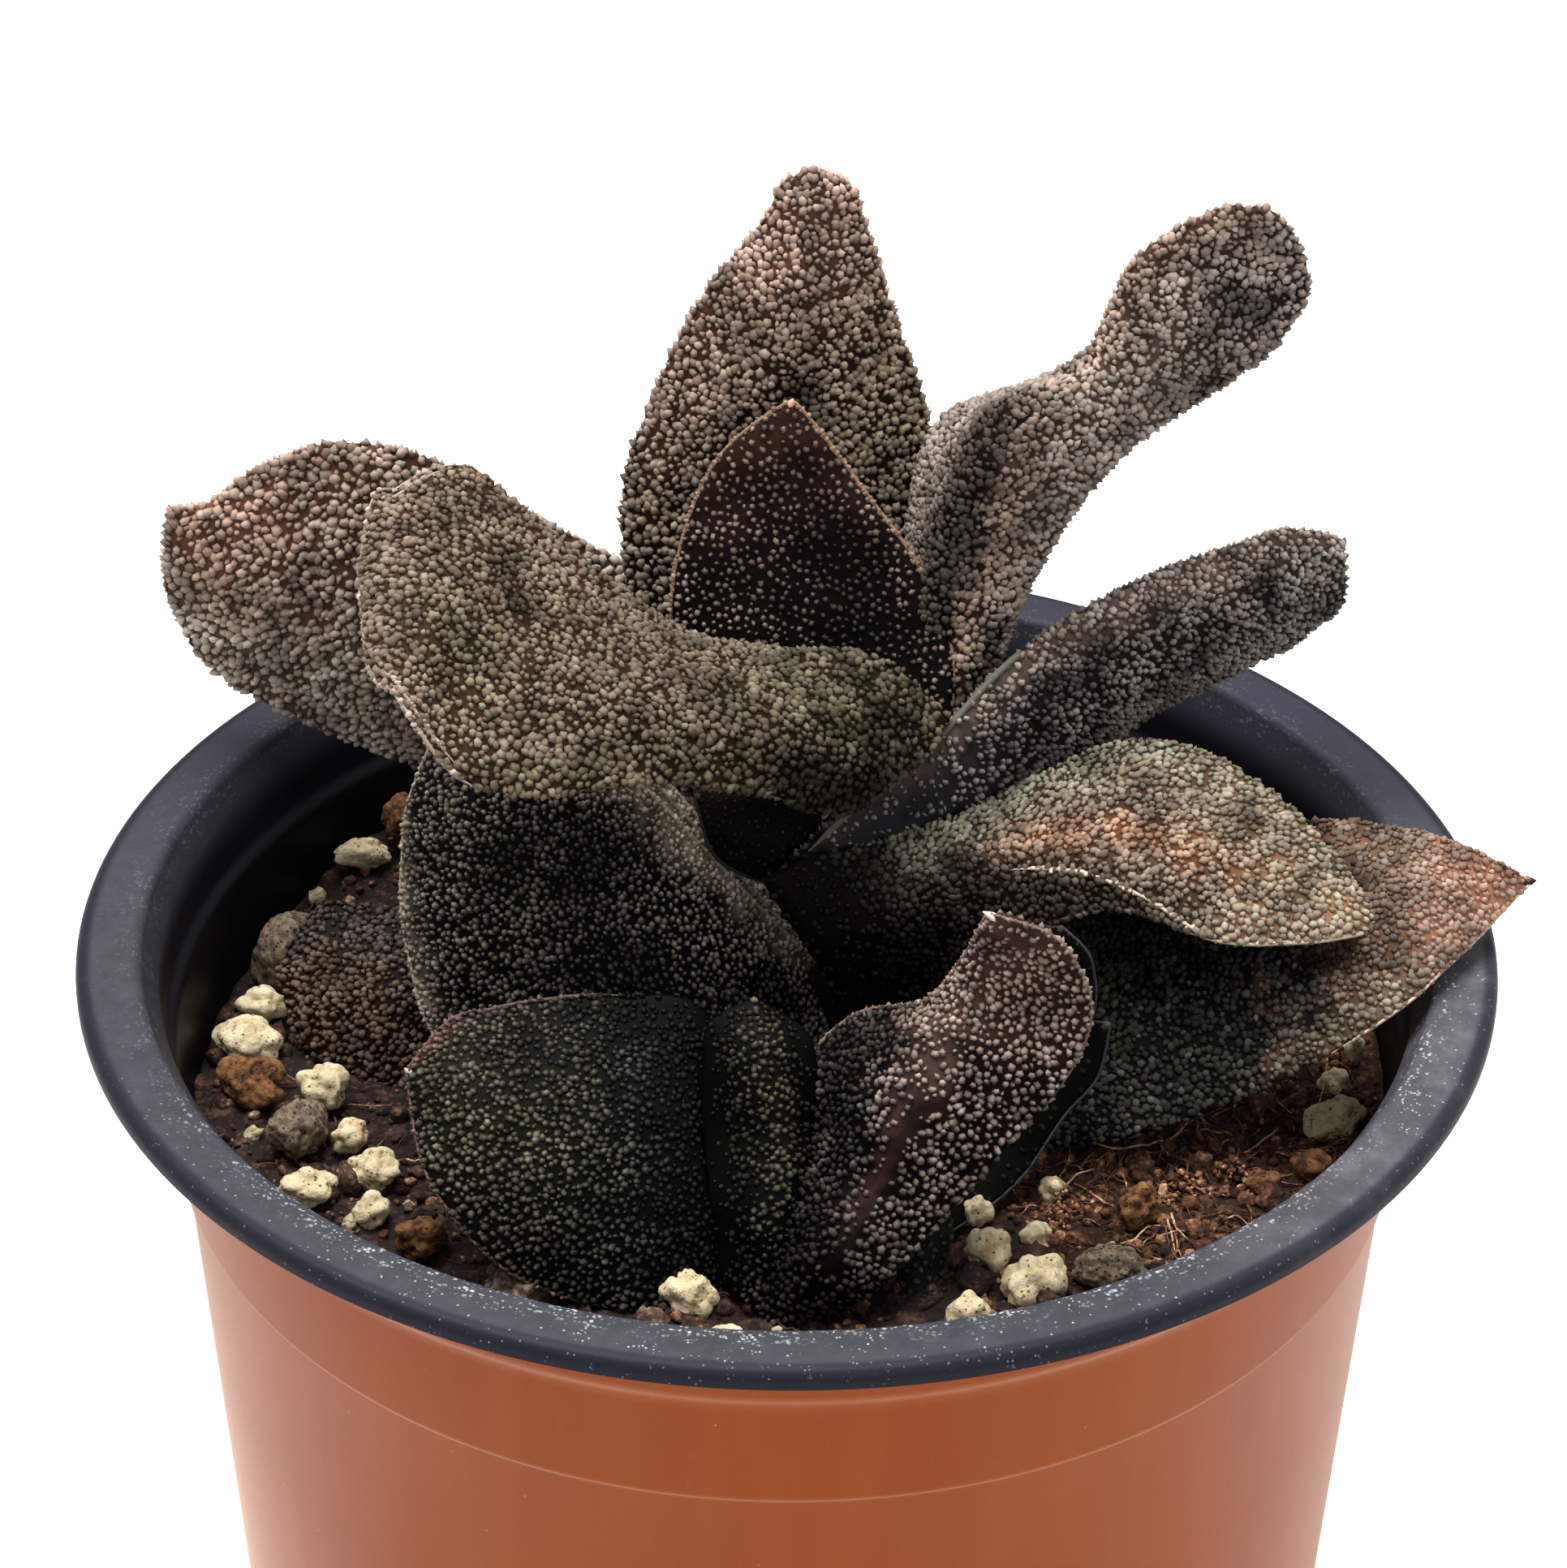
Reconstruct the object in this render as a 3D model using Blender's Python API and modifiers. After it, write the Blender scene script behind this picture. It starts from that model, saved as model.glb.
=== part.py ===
"""A potted gasteria: a rosette of thick warty tongue leaves and an offset in a nursery pot.

The frame is in metres with +Z up. Its origin is the centre of the pot's flat underside.
X runs to the right and Y away from the side that the offset grows on.
Tables of places and the driving sizes are in millimetres.
"""

import math
import random

import bmesh
import bpy
import numpy as np
from mathutils import Euler, Matrix, Vector, noise

MM = 0.001
GAP = 0.3

# Pot, in millimetres
POT_HEIGHT = 92.0
RIM_RADIUS = 52.5
MOUTH_RADIUS = 47.6
RIM_DROP = 1.5
SHEET = 1.0
SEAM_HEIGHT = 75.2
SEAM_RADIUS = 45.7
SEAM_STEP = 0.4
LEDGE_HEIGHT = 84.8
LEDGE_STEP = 0.7
WALL_SLOPE = 0.0555
FOOT_CHAMFER = 2.0
SIDES = 40
HOLE_COUNT = 8
HOLE_RADIUS = 3.5
HOLE_CIRCLE = 27.0

# Soil, in millimetres: its level in the middle, and a heap at the back on the left
SOIL_LEVEL = 77.4
SOIL_TILT = 0.04
SOIL_RELIEF = 0.9
SOIL_GRAIN = 5.0
SOIL_RING = 4.0
HEAP_PLACE = (-34.0, 30.0)
HEAP_HEIGHT = 3.5
HEAP_SPREAD = 9.0

# Leaf lofts, in millimetres
RING_PITCH = 3.3
AROUND_FACE = 9
AROUND_SKIN = 8
WART_HEIGHT = 0.45
SHELL = WART_HEIGHT + GAP
TIP_CROWDING = 1.46

# Stems: (x, y, z, radius) from the foot upwards, in millimetres
STEMS = {
    "stem": [(5.0, 9.0, 70.0, 5.2), (5.5, 9.5, 80.0, 5.0), (7.0, 11.0, 92.0, 4.4), (9.0, 12.0, 102.0, 3.4)],
    "offset_stem": [(-0.5, -24.5, 70.0, 4.0), (-0.5, -24.0, 77.0, 3.8), (-1.0, -22.0, 84.0, 2.8)],
}

# Leaves in the order in which they keep their shape where two of them meet.
# A row is a station from the base to the tip: left margin, right margin, and how far the
# face that looks along (right - left) x (base to tip) rises between them, as the place of
# its crest from -1 at the left margin to 1 at the right, and the crest's height.
# back is the rise of the other face at the base and along the blade, edge half the
# thickness of the margin. Everything is in millimetres.
LEAVES = {
    "leaf_e": dict(edge=0.6, back=(5.0, 1.6), tip=(42.9, -7.0, 95.9), rows=[
        ((-1.9, 0.0, 94.7), (5.6, 1.0, 81.2), 0.0, 0.5),
        ((4.3, 4.0, 96.4), (9.6, 0.0, 83.5), -0.1, 3.0),
        ((10.9, 7.0, 97.0), (14.5, -3.0, 89.0), 0.0, 4.0),
        ((17.6, 8.0, 98.5), (19.6, -5.0, 94.8), 0.3, 2.5),
        ((24.9, 7.0, 102.7), (25.0, -7.0, 97.2), 0.6, 1.5),
        ((30.5, 5.0, 103.1), (31.0, -9.0, 96.2), 0.3, 1.0),
        ((36.3, 1.0, 101.3), (36.3, -9.0, 96.1), 0.0, 0.6),
        ((40.4, -4.0, 98.8), (40.2, -8.0, 96.0), 0.0, 0.2),
    ]),
    "leaf_f": dict(edge=0.6, back=(2.4, 1.8), tip=(54.5, -2.5, 97.0), rows=[
        ((9.0, 9.0, 83.0), (8.5, -3.0, 77.5), 0.0, 1.0),
        ((17.5, 7.5, 87.0), (19.0, -12.0, 79.6), 0.0, 1.2),
        ((24.5, 6.0, 91.5), (27.0, -13.0, 82.0), 0.0, 1.2),
        ((31.5, 4.5, 95.5), (34.0, -13.0, 85.5), 0.0, 1.2),
        ((38.0, 3.0, 98.3), (40.2, -12.5, 89.3), 0.0, 1.0),
        ((43.5, 1.0, 99.4), (45.2, -11.6, 93.2), 0.0, 0.8),
        ((49.4, -1.0, 99.0), (50.6, -5.2, 94.3), 0.0, 0.4),
    ]),
    "leaf_i": dict(edge=1.2, back=(2.0, 2.4), tip=(-27.0, 11.0, 99.5), rows=[
        ((0.5, 3.0, 77.5), (6.0, 6.0, 79.0), 0.0, 0.6),
        ((-7.0, -4.0, 77.5), (1.0, 7.0, 84.5), 0.0, 1.2),
        ((-15.0, -7.0, 78.0), (-3.5, 8.0, 90.0), 0.0, 1.5),
        ((-22.0, -6.0, 79.5), (-7.5, 9.0, 95.0), 0.0, 1.6),
        ((-26.7, -2.0, 83.0), (-12.0, 10.0, 99.4), 0.0, 1.6),
        ((-28.5, 2.0, 87.7), (-16.6, 11.0, 101.3), 0.0, 1.4),
        ((-29.0, 6.0, 92.4), (-21.2, 11.5, 102.0), 0.0, 1.0),
        ((-28.2, 9.0, 97.0), (-25.0, 11.5, 101.0), 0.0, 0.6),
    ]),
    "leaf_d": dict(edge=0.8, back=(3.5, 2.0), tip=(42.5, 24.0, 110.5), rows=[
        ((0.9, 2.0, 95.2), (3.7, 5.0, 84.4), 0.0, 0.5),
        ((5.4, 4.0, 99.0), (7.4, 7.0, 88.3), 0.0, 1.2),
        ((10.2, 6.0, 102.3), (12.4, 9.0, 90.8), 0.0, 1.8),
        ((16.2, 10.0, 107.4), (18.2, 12.0, 94.4), 0.0, 2.2),
        ((21.7, 14.0, 109.7), (23.6, 15.0, 97.0), 0.0, 2.2),
        ((27.4, 17.5, 110.9), (28.6, 18.0, 99.1), 0.0, 2.0),
        ((33.1, 20.5, 111.6), (35.8, 21.0, 101.3), 0.0, 1.5),
        ((38.2, 22.5, 112.2), (40.4, 23.0, 103.3), 0.0, 0.8),
    ]),
    "leaf_g": dict(edge=0.8, back=(4.0, 2.2), tip=(-30.7, 3.0, 118.7), rows=[
        ((8.9, 4.0, 102.0), (11.7, 7.0, 104.8), 0.0, 0.3),
        ((4.1, 0.5, 100.6), (7.0, 8.0, 109.0), -0.3, 1.4),
        ((-1.5, -3.0, 104.4), (-0.5, 9.0, 109.3), -0.4, 2.0),
        ((-7.0, -5.0, 106.6), (-7.1, 9.5, 110.2), -0.4, 2.0),
        ((-13.1, -7.0, 107.5), (-13.7, 10.5, 114.4), -0.4, 2.0),
        ((-18.2, -8.0, 107.3), (-19.7, 11.5, 119.6), -0.3, 1.8),
        ((-23.6, -8.0, 109.3), (-24.1, 11.0, 123.3), -0.1, 1.2),
        ((-27.7, -6.0, 114.7), (-28.4, 9.0, 122.4), 0.0, 0.8),
    ]),
    "leaf_b": dict(edge=0.5, back=(2.5, 2.0), tip=(0.0, 17.0, 125.7), rows=[
        ((1.5, 8.0, 98.0), (10.0, 8.0, 98.5), 0.0, 0.3),
        ((-7.5, 11.0, 103.3), (12.1, 9.0, 104.7), 0.0, -0.2),
        ((-8.7, 13.0, 109.4), (11.3, 12.0, 110.2), 0.0, -0.5),
        ((-8.2, 14.5, 113.8), (9.1, 13.5, 114.5), 0.0, -0.5),
        ((-6.4, 16.0, 119.2), (5.0, 15.5, 119.5), 0.0, -0.3),
        ((-3.6, 16.5, 123.2), (2.1, 16.5, 123.3), 0.0, 0.0),
    ]),
    "leaf_c": dict(edge=1.2, back=(1.8, 2.0), tip=(37.0, 19.0, 136.8), rows=[
        ((9.0, 12.0, 99.0), (13.5, 10.0, 100.5), 0.0, 0.5),
        ((9.1, 18.0, 107.0), (16.3, 12.0, 109.9), 0.1, 3.5),
        ((9.3, 21.0, 115.2), (18.5, 14.0, 114.0), 0.1, 4.5),
        ((11.9, 23.0, 121.8), (22.2, 15.0, 120.3), 0.1, 5.0),
        ((17.6, 23.0, 124.0), (25.1, 16.0, 123.2), 0.0, 4.0),
        ((22.2, 21.0, 128.4), (28.4, 17.0, 125.2), -0.3, 2.0),
        ((25.0, 20.0, 135.9), (31.9, 17.5, 127.7), -0.5, 0.6),
        ((28.8, 20.0, 139.0), (34.8, 17.5, 129.9), -0.5, -0.8),
        ((32.7, 19.5, 140.4), (36.5, 18.0, 132.7), -0.3, -1.0),
    ]),
    "leaf_a": dict(edge=0.8, back=(2.4, 3.4), tip=(1.8, 27.0, 140.0), rows=[
        ((3.5, 13.5, 89.0), (10.0, 13.5, 89.0), 0.0, 1.0),
        ((-4.0, 14.5, 95.0), (10.5, 14.5, 95.0), 0.0, 1.2),
        ((-8.8, 16.5, 100.5), (11.7, 16.5, 100.5), 0.0, 1.5),
        ((-12.2, 20.0, 107.8), (12.4, 20.0, 108.0), 0.0, 1.8),
        ((-12.7, 22.0, 113.7), (11.8, 22.0, 114.0), 0.0, 2.0),
        ((-10.4, 24.0, 122.4), (9.7, 24.0, 122.6), 0.0, 2.0),
        ((-6.0, 25.5, 130.8), (6.8, 25.5, 131.0), 0.0, 1.8),
        ((-1.9, 26.5, 136.2), (4.9, 26.5, 136.6), 0.0, 1.4),
    ]),
    "leaf_h": dict(edge=0.8, back=(2.0, 2.8), tip=(-47.4, 23.0, 112.8), rows=[
        ((2.5, 14.0, 91.5), (5.0, 16.0, 98.0), 0.0, 0.8),
        ((-7.7, 19.0, 90.4), (-4.9, 22.0, 103.8), 0.0, 1.4),
        ((-17.4, 21.0, 88.3), (-12.6, 25.0, 107.1), 0.0, 1.8),
        ((-25.8, 22.0, 89.5), (-20.5, 26.0, 111.4), 0.0, 2.0),
        ((-34.0, 22.5, 92.7), (-29.5, 26.0, 116.5), 0.0, 2.0),
        ((-39.9, 22.5, 95.7), (-35.7, 26.0, 117.0), 0.0, 1.8),
        ((-45.4, 22.5, 100.1), (-41.3, 25.0, 114.9), 0.0, 1.4),
        ((-48.0, 22.5, 106.4), (-44.2, 24.0, 113.1), 0.0, 0.8),
    ]),
    "leaf_p": dict(edge=0.5, back=(1.0, 0.8), tip=(-6.9, 8.0, 97.1), rows=[
        ((3.0, 4.5, 91.5), (5.5, 6.5, 95.5), 0.0, 0.4),
        ((-2.5, 4.0, 92.5), (0.8, 7.0, 97.6), 0.0, 0.6),
        ((-5.5, 5.0, 94.0), (-2.5, 8.0, 98.6), 0.0, 0.6),
    ]),
    "leaf_q": dict(edge=0.5, back=(0.8, 0.8), tip=(4.4, 5.5, 84.3), rows=[
        ((3.0, 2.5, 75.5), (8.7, 2.5, 76.0), 0.0, 0.4),
        ((2.2, 3.5, 81.5), (7.8, 3.5, 81.5), 0.0, 0.6),
        ((2.5, 5.0, 83.8), (6.1, 5.0, 83.8), 0.0, 0.4),
    ]),
    "leaf_o": dict(edge=0.6, back=(1.0, 1.0), tip=(-39.4, 8.0, 80.7), rows=[
        ((-2.0, 4.0, 75.0), (0.0, 9.0, 77.5), 0.0, 0.6),
        ((-14.0, 0.0, 74.5), (-12.0, 9.0, 78.0), 0.0, 0.8),
        ((-25.3, -1.0, 75.2), (-23.2, 9.0, 81.0), 0.0, 0.8),
        ((-30.3, 0.0, 75.8), (-28.3, 10.0, 84.0), 0.0, 1.4),
        ((-34.8, 2.0, 76.2), (-33.5, 12.0, 84.0), 0.0, 1.4),
        ((-38.2, 5.0, 78.0), (-37.2, 11.0, 83.3), 0.0, 1.0),
    ]),
    "offset_leaf_l": dict(edge=0.6, back=(2.0, 0.8), tip=(14.0, -20.5, 105.8), rows=[
        ((-2.3, -28.5, 77.5), (2.5, -29.0, 77.0), 0.0, 1.0),
        ((0.2, -25.0, 82.2), (6.2, -30.0, 80.4), 0.0, 2.5),
        ((1.3, -20.0, 86.4), (10.4, -27.0, 83.8), 0.0, 3.2),
        ((1.8, -17.0, 90.6), (14.9, -25.0, 88.7), 0.0, 3.6),
        ((5.3, -15.0, 93.5), (18.7, -24.0, 93.5), -0.2, 3.2),
        ((9.8, -16.0, 95.2), (20.8, -23.0, 98.5), -0.5, 2.0),
        ((12.5, -18.0, 100.6), (20.0, -22.0, 102.4), -0.6, 0.6),
        ((13.5, -19.5, 103.8), (17.5, -21.5, 105.2), -0.3, 0.0),
    ]),
    "offset_leaf_k": dict(edge=0.6, back=(1.0, 1.0), tip=(-2.3, -15.0, 94.7), rows=[
        ((-4.1, -27.0, 77.4), (0.5, -27.0, 77.4), 0.0, 1.0),
        ((-5.0, -25.0, 82.9), (2.5, -24.0, 82.2), 0.0, 1.6),
        ((-5.7, -21.0, 87.0), (3.5, -20.0, 86.4), 0.0, 1.6),
        ((-5.8, -18.0, 91.2), (2.1, -18.0, 91.3), 0.0, 1.4),
        ((-5.0, -16.0, 93.7), (0.8, -16.0, 93.3), 0.0, 0.8),
    ]),
    "offset_leaf_j": dict(edge=0.7, back=(1.8, 2.2), tip=(-26.8, -18.0, 90.3), rows=[
        ((-3.5, -26.5, 77.0), (-2.5, -17.0, 86.0), 0.0, 0.8),
        ((-9.5, -28.5, 77.4), (-6.3, -13.0, 92.6), 0.0, 1.2),
        ((-15.2, -28.0, 78.1), (-11.9, -13.0, 93.4), 0.0, 1.4),
        ((-19.9, -27.0, 80.1), (-17.1, -13.0, 93.0), 0.0, 1.4),
        ((-23.7, -25.0, 83.6), (-21.1, -14.0, 92.6), 0.0, 1.2),
        ((-25.9, -22.0, 86.9), (-24.3, -15.0, 92.0), 0.0, 0.8),
    ]),
    "offset_leaf_m": dict(edge=0.5, back=(0.8, 0.8), tip=(19.7, -9.2, 97.1), rows=[
        ((0.0, -19.5, 76.5), (3.0, -22.0, 76.0), 0.0, 0.4),
        ((7.5, -13.0, 82.0), (12.0, -16.5, 81.0), 0.0, 0.5),
        ((12.5, -10.0, 85.5), (18.0, -13.5, 85.0), 0.0, 0.6),
        ((16.0, -9.2, 89.1), (21.6, -12.2, 90.2), 0.0, 0.8),
        ((17.3, -8.2, 92.8), (22.1, -11.2, 94.2), 0.0, 0.6),
        ((18.6, -8.2, 95.9), (21.0, -10.2, 96.4), 0.0, 0.3),
    ]),
    "offset_leaf_r": dict(edge=0.5, back=(0.8, 0.8), tip=(23.3, -12.0, 90.6), rows=[
        ((0.5, -22.5, 75.0), (2.5, -25.0, 75.0), 0.0, 0.4),
        ((7.5, -17.5, 77.5), (11.0, -20.5, 77.5), 0.0, 0.5),
        ((13.0, -13.0, 80.5), (17.0, -16.5, 80.0), 0.0, 0.6),
        ((16.7, -10.5, 85.4), (20.2, -14.0, 84.1), 0.0, 0.8),
        ((19.6, -10.0, 89.1), (22.7, -13.0, 87.1), 0.0, 0.6),
    ]),
    "offset_leaf_n": dict(edge=0.5, back=(0.8, 0.8), tip=(11.1, -24.0, 83.8), rows=[
        ((1.5, -25.5, 73.0), (4.5, -26.5, 72.5), 0.0, 0.4),
        ((7.4, -27.0, 76.2), (10.6, -28.0, 77.0), 0.0, 0.6),
        ((8.0, -25.0, 78.7), (11.1, -26.0, 79.1), 0.0, 0.8),
        ((9.1, -24.0, 80.8), (11.8, -25.0, 82.0), 0.0, 0.6),
    ]),
}

# Stones that lie in the soil: what they are, (x, y, z) of the middle, and width, depth and
# height, in millimetres
STONES = [
    ("ash_stone", (-38.9, 12.8, 78.5), (6.6, 5.5, 7.4)),
    ("pumice", (-40.8, 8.2, 77.2), (4.4, 3.4, 3.4)),
    ("pumice", (-41.4, 3.4, 77.4), (5.4, 4.4, 4.0)),
    ("lava", (-40.6, -2.0, 77.3), (5.8, 4.6, 4.4)),
    ("pumice", (-35.0, -2.6, 77.5), (4.0, 4.0, 4.0)),
    ("ash_stone", (-36.4, -8.2, 77.6), (5.0, 4.6, 4.8)),
    ("pumice", (-32.3, -8.4, 77.2), (3.2, 2.8, 2.8)),
    ("pumice", (-30.4, -12.4, 77.2), (4.6, 3.6, 3.2)),
    ("pumice", (-35.2, -14.4, 77.0), (4.8, 3.6, 3.0)),
    ("pumice", (-30.3, -16.9, 76.9), (3.2, 3.0, 2.6)),
    ("pumice", (-34.6, 25.6, 79.9), (5.0, 2.6, 2.8)),
    ("lava", (-31.2, 28.6, 81.6), (4.0, 3.6, 3.8)),
    ("lava", (-26.3, -20.4, 77.3), (4.2, 3.8, 3.2)),
    ("ash_stone", (-18.8, -26.0, 77.6), (6.0, 4.6, 3.8)),
    ("pumice", (-5.9, -21.9, 77.9), (2.4, 2.4, 2.6)),
    ("pumice", (-6.6, -27.6, 78.1), (4.4, 3.8, 3.8)),
    ("pumice", (-3.9, -31.9, 77.7), (2.8, 2.4, 2.4)),
    ("pumice", (14.0, -18.6, 78.6), (2.4, 2.4, 2.6)),
    ("pumice", (14.6, -23.6, 78.9), (3.6, 3.4, 4.0)),
    ("pumice", (12.9, -30.2, 78.8), (3.4, 3.2, 3.4)),
    ("pumice", (17.5, -27.4, 79.3), (5.0, 4.4, 4.4)),
    ("pumice", (18.2, -21.6, 78.7), (2.8, 2.4, 2.4)),
    ("pumice", (19.6, -15.6, 78.4), (2.2, 2.2, 2.2)),
    ("ash_stone", (23.2, -25.8, 79.2), (5.6, 4.4, 3.8)),
    ("lava", (25.4, -18.6, 79.2), (3.6, 3.4, 3.6)),
    ("lava", (34.8, -16.2, 79.3), (3.0, 2.8, 2.8)),
    ("lava", (38.6, -14.2, 79.4), (3.0, 2.8, 2.6)),
    ("pumice", (40.9, -8.4, 79.6), (4.8, 4.0, 3.8)),
    ("pumice", (41.2, -3.6, 79.4), (2.6, 2.4, 2.4)),
    ("pumice", (42.9, -0.2, 80.2), (2.2, 2.2, 3.6)),
]
STONE_ROUGHNESS = 0.22
LARGE_STONE = 4.2

# Colours and finish of the materials: red, green, blue, roughness
FINISHES = {
    "plastic": (0.38, 0.11, 0.04, 0.45),
    "soil": (0.045, 0.024, 0.014, 0.95),
    "pumice": (0.62, 0.54, 0.36, 0.9),
    "lava": (0.16, 0.06, 0.02, 0.9),
    "ash_stone": (0.06, 0.055, 0.05, 0.9),
    "stem": (0.05, 0.06, 0.025, 0.7),
    "leaf": (0.075, 0.055, 0.04, 0.75),
    "offset_leaf": (0.03, 0.028, 0.022, 0.75),
}


def clear_scene():
    for thing in list(bpy.data.objects):
        bpy.data.objects.remove(thing, do_unlink=True)


def new_collection(name):
    group = bpy.data.collections.new(name)
    bpy.context.scene.collection.children.link(group)
    return group


def make_material(name, finish):
    red, green, blue, roughness = FINISHES[finish]
    material = bpy.data.materials.new(name)
    material.use_nodes = True
    shader = material.node_tree.nodes["Principled BSDF"]
    shader.inputs["Base Color"].default_value = (red, green, blue, 1.0)
    shader.inputs["Roughness"].default_value = roughness
    shader.inputs["Metallic"].default_value = 0.0
    return material


def add_object(name, data, group, finish=None):
    """A part with its own material, or without a finish a helper that is not rendered."""
    thing = bpy.data.objects.new(name, data)
    group.objects.link(thing)
    if finish:
        data.materials.clear()
        data.materials.append(make_material(name, finish))
        data.shade_smooth()
        data.set_sharp_from_angle(angle=math.radians(50))
    else:
        thing.hide_render = True
        thing.display_type = "WIRE"
    return thing


def mesh_from_bmesh(name, shape):
    bmesh.ops.recalc_face_normals(shape, faces=shape.faces)
    mesh = bpy.data.meshes.new(name)
    shape.to_mesh(mesh)
    shape.free()
    return mesh


def welded(name, thing):
    """A closed mesh of an object as its modifiers or its bevel leave it; the object goes."""
    graph = bpy.context.evaluated_depsgraph_get()
    result = bpy.data.meshes.new_from_object(thing.evaluated_get(graph))
    bpy.data.objects.remove(thing, do_unlink=True)
    shape = bmesh.new()
    shape.from_mesh(result)
    bmesh.ops.remove_doubles(shape, verts=shape.verts, dist=0.01 * MM)
    return mesh_from_bmesh(name, shape)


def turned(name, profile, group):
    """A closed outline of (radius, height) in millimetres turned round the Z axis."""
    shape = bmesh.new()
    corners = [shape.verts.new((radius * MM, 0.0, height * MM)) for radius, height in profile]
    for first, second in zip(corners, corners[1:]):
        shape.edges.new((first, second))
    mesh = bpy.data.meshes.new(name)
    shape.to_mesh(mesh)
    shape.free()
    thing = add_object(name, mesh, group)
    screw = thing.modifiers.new("Turn", "SCREW")
    screw.steps = SIDES
    screw.render_steps = SIDES
    screw.use_merge_vertices = True
    screw.merge_threshold = 0.01 * MM
    return welded(name, thing)


def cut(mesh, cutters, group, solver="EXACT"):
    """The mesh less each cutter mesh, with loose scraps dropped."""
    target = add_object("target", mesh, group)
    for cutter in cutters:
        helper = add_object("cutter", cutter, group)
        boolean = target.modifiers.new("Cut", "BOOLEAN")
        boolean.operation = "DIFFERENCE"
        boolean.solver = solver
        boolean.object = helper
    helpers = [boolean.object for boolean in target.modifiers]
    result = welded(mesh.name, target)
    for helper in helpers:
        bpy.data.objects.remove(helper, do_unlink=True)
    return largest_piece(result)


def largest_piece(mesh):
    shape = bmesh.new()
    shape.from_mesh(mesh)
    waiting = set(shape.verts)
    pieces = []
    while waiting:
        front = [waiting.pop()]
        piece = set(front)
        while front:
            for edge in front.pop().link_edges:
                fresh = waiting.intersection(edge.verts)
                waiting -= fresh
                piece |= fresh
                front.extend(fresh)
        pieces.append(piece)
    pieces.sort(key=len)
    loose = [corner for piece in pieces[:-1] for corner in piece]
    bmesh.ops.delete(shape, geom=loose, context="VERTS")
    return mesh_from_bmesh(mesh.name, shape)


# Pot

def wall_radius(height):
    """Outer radius of the pot's wall: a seam low down and a soft ledge under the flange."""
    radius = SEAM_RADIUS + (height - SEAM_HEIGHT) * WALL_SLOPE
    if height > SEAM_HEIGHT:
        radius += SEAM_STEP
    if height > LEDGE_HEIGHT:
        radius += LEDGE_STEP
    return radius


def wall_outline(offset):
    """The wall from under the flange to the foot, moved inwards by offset."""
    heights = [
        POT_HEIGHT - 3.0, LEDGE_HEIGHT + 0.7, LEDGE_HEIGHT - 0.7,
        SEAM_HEIGHT + 0.4, SEAM_HEIGHT - 0.2, FOOT_CHAMFER + offset,
    ]
    outline = [(wall_radius(height) - offset, height) for height in heights]
    return outline + [(wall_radius(0.0) - FOOT_CHAMFER - offset / 2, offset)]


def pot_mesh(group, cutters):
    """A thin cup with a flat flange that is rolled down, and drain holes in its floor."""
    top = POT_HEIGHT
    outside = [(RIM_RADIUS, top - RIM_DROP), (RIM_RADIUS - 0.8, top - RIM_DROP)]
    outside += [(RIM_RADIUS - 1.0, top - SHEET), (wall_radius(top - 3.0) + 0.8, top - SHEET)]
    outside += wall_outline(0.0) + [(0.0, 0.0)]
    inside = [(0.0, SHEET)] + wall_outline(SHEET)[::-1]
    inside += [(MOUTH_RADIUS, top - 0.8), (MOUTH_RADIUS + 0.7, top), (RIM_RADIUS - 0.8, top)]
    inside += [(RIM_RADIUS - 0.2, top - 0.35), (RIM_RADIUS, top - RIM_DROP)]
    holes = []
    for index in range(HOLE_COUNT):
        turn = 2 * math.pi * (index + 0.5) / HOLE_COUNT
        place = Vector((math.cos(turn), math.sin(turn), 0.0)) * HOLE_CIRCLE * MM
        shape = bmesh.new()
        bmesh.ops.create_cone(
            shape, cap_ends=True, segments=10, radius1=HOLE_RADIUS * MM, radius2=HOLE_RADIUS * MM,
            depth=10 * MM, matrix=Matrix.Translation(place),
        )
        holes.append(mesh_from_bmesh("hole", shape))
    return cut(turned("pot", outside + inside, group), holes, cutters)


# Soil

def soil_height(x, y):
    """Height of the soil's surface at a place, all in millimetres."""
    rough = noise.noise(Vector((x / SOIL_GRAIN, y / SOIL_GRAIN, 1.7)))
    broad = noise.noise(Vector((x / 18.0, y / 18.0, 8.1)))
    away = math.hypot(x - HEAP_PLACE[0], y - HEAP_PLACE[1]) / HEAP_SPREAD
    heap = HEAP_HEIGHT * math.exp(-away * away)
    return SOIL_LEVEL + SOIL_TILT * x + SOIL_RELIEF * rough + 0.8 * broad + heap


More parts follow.
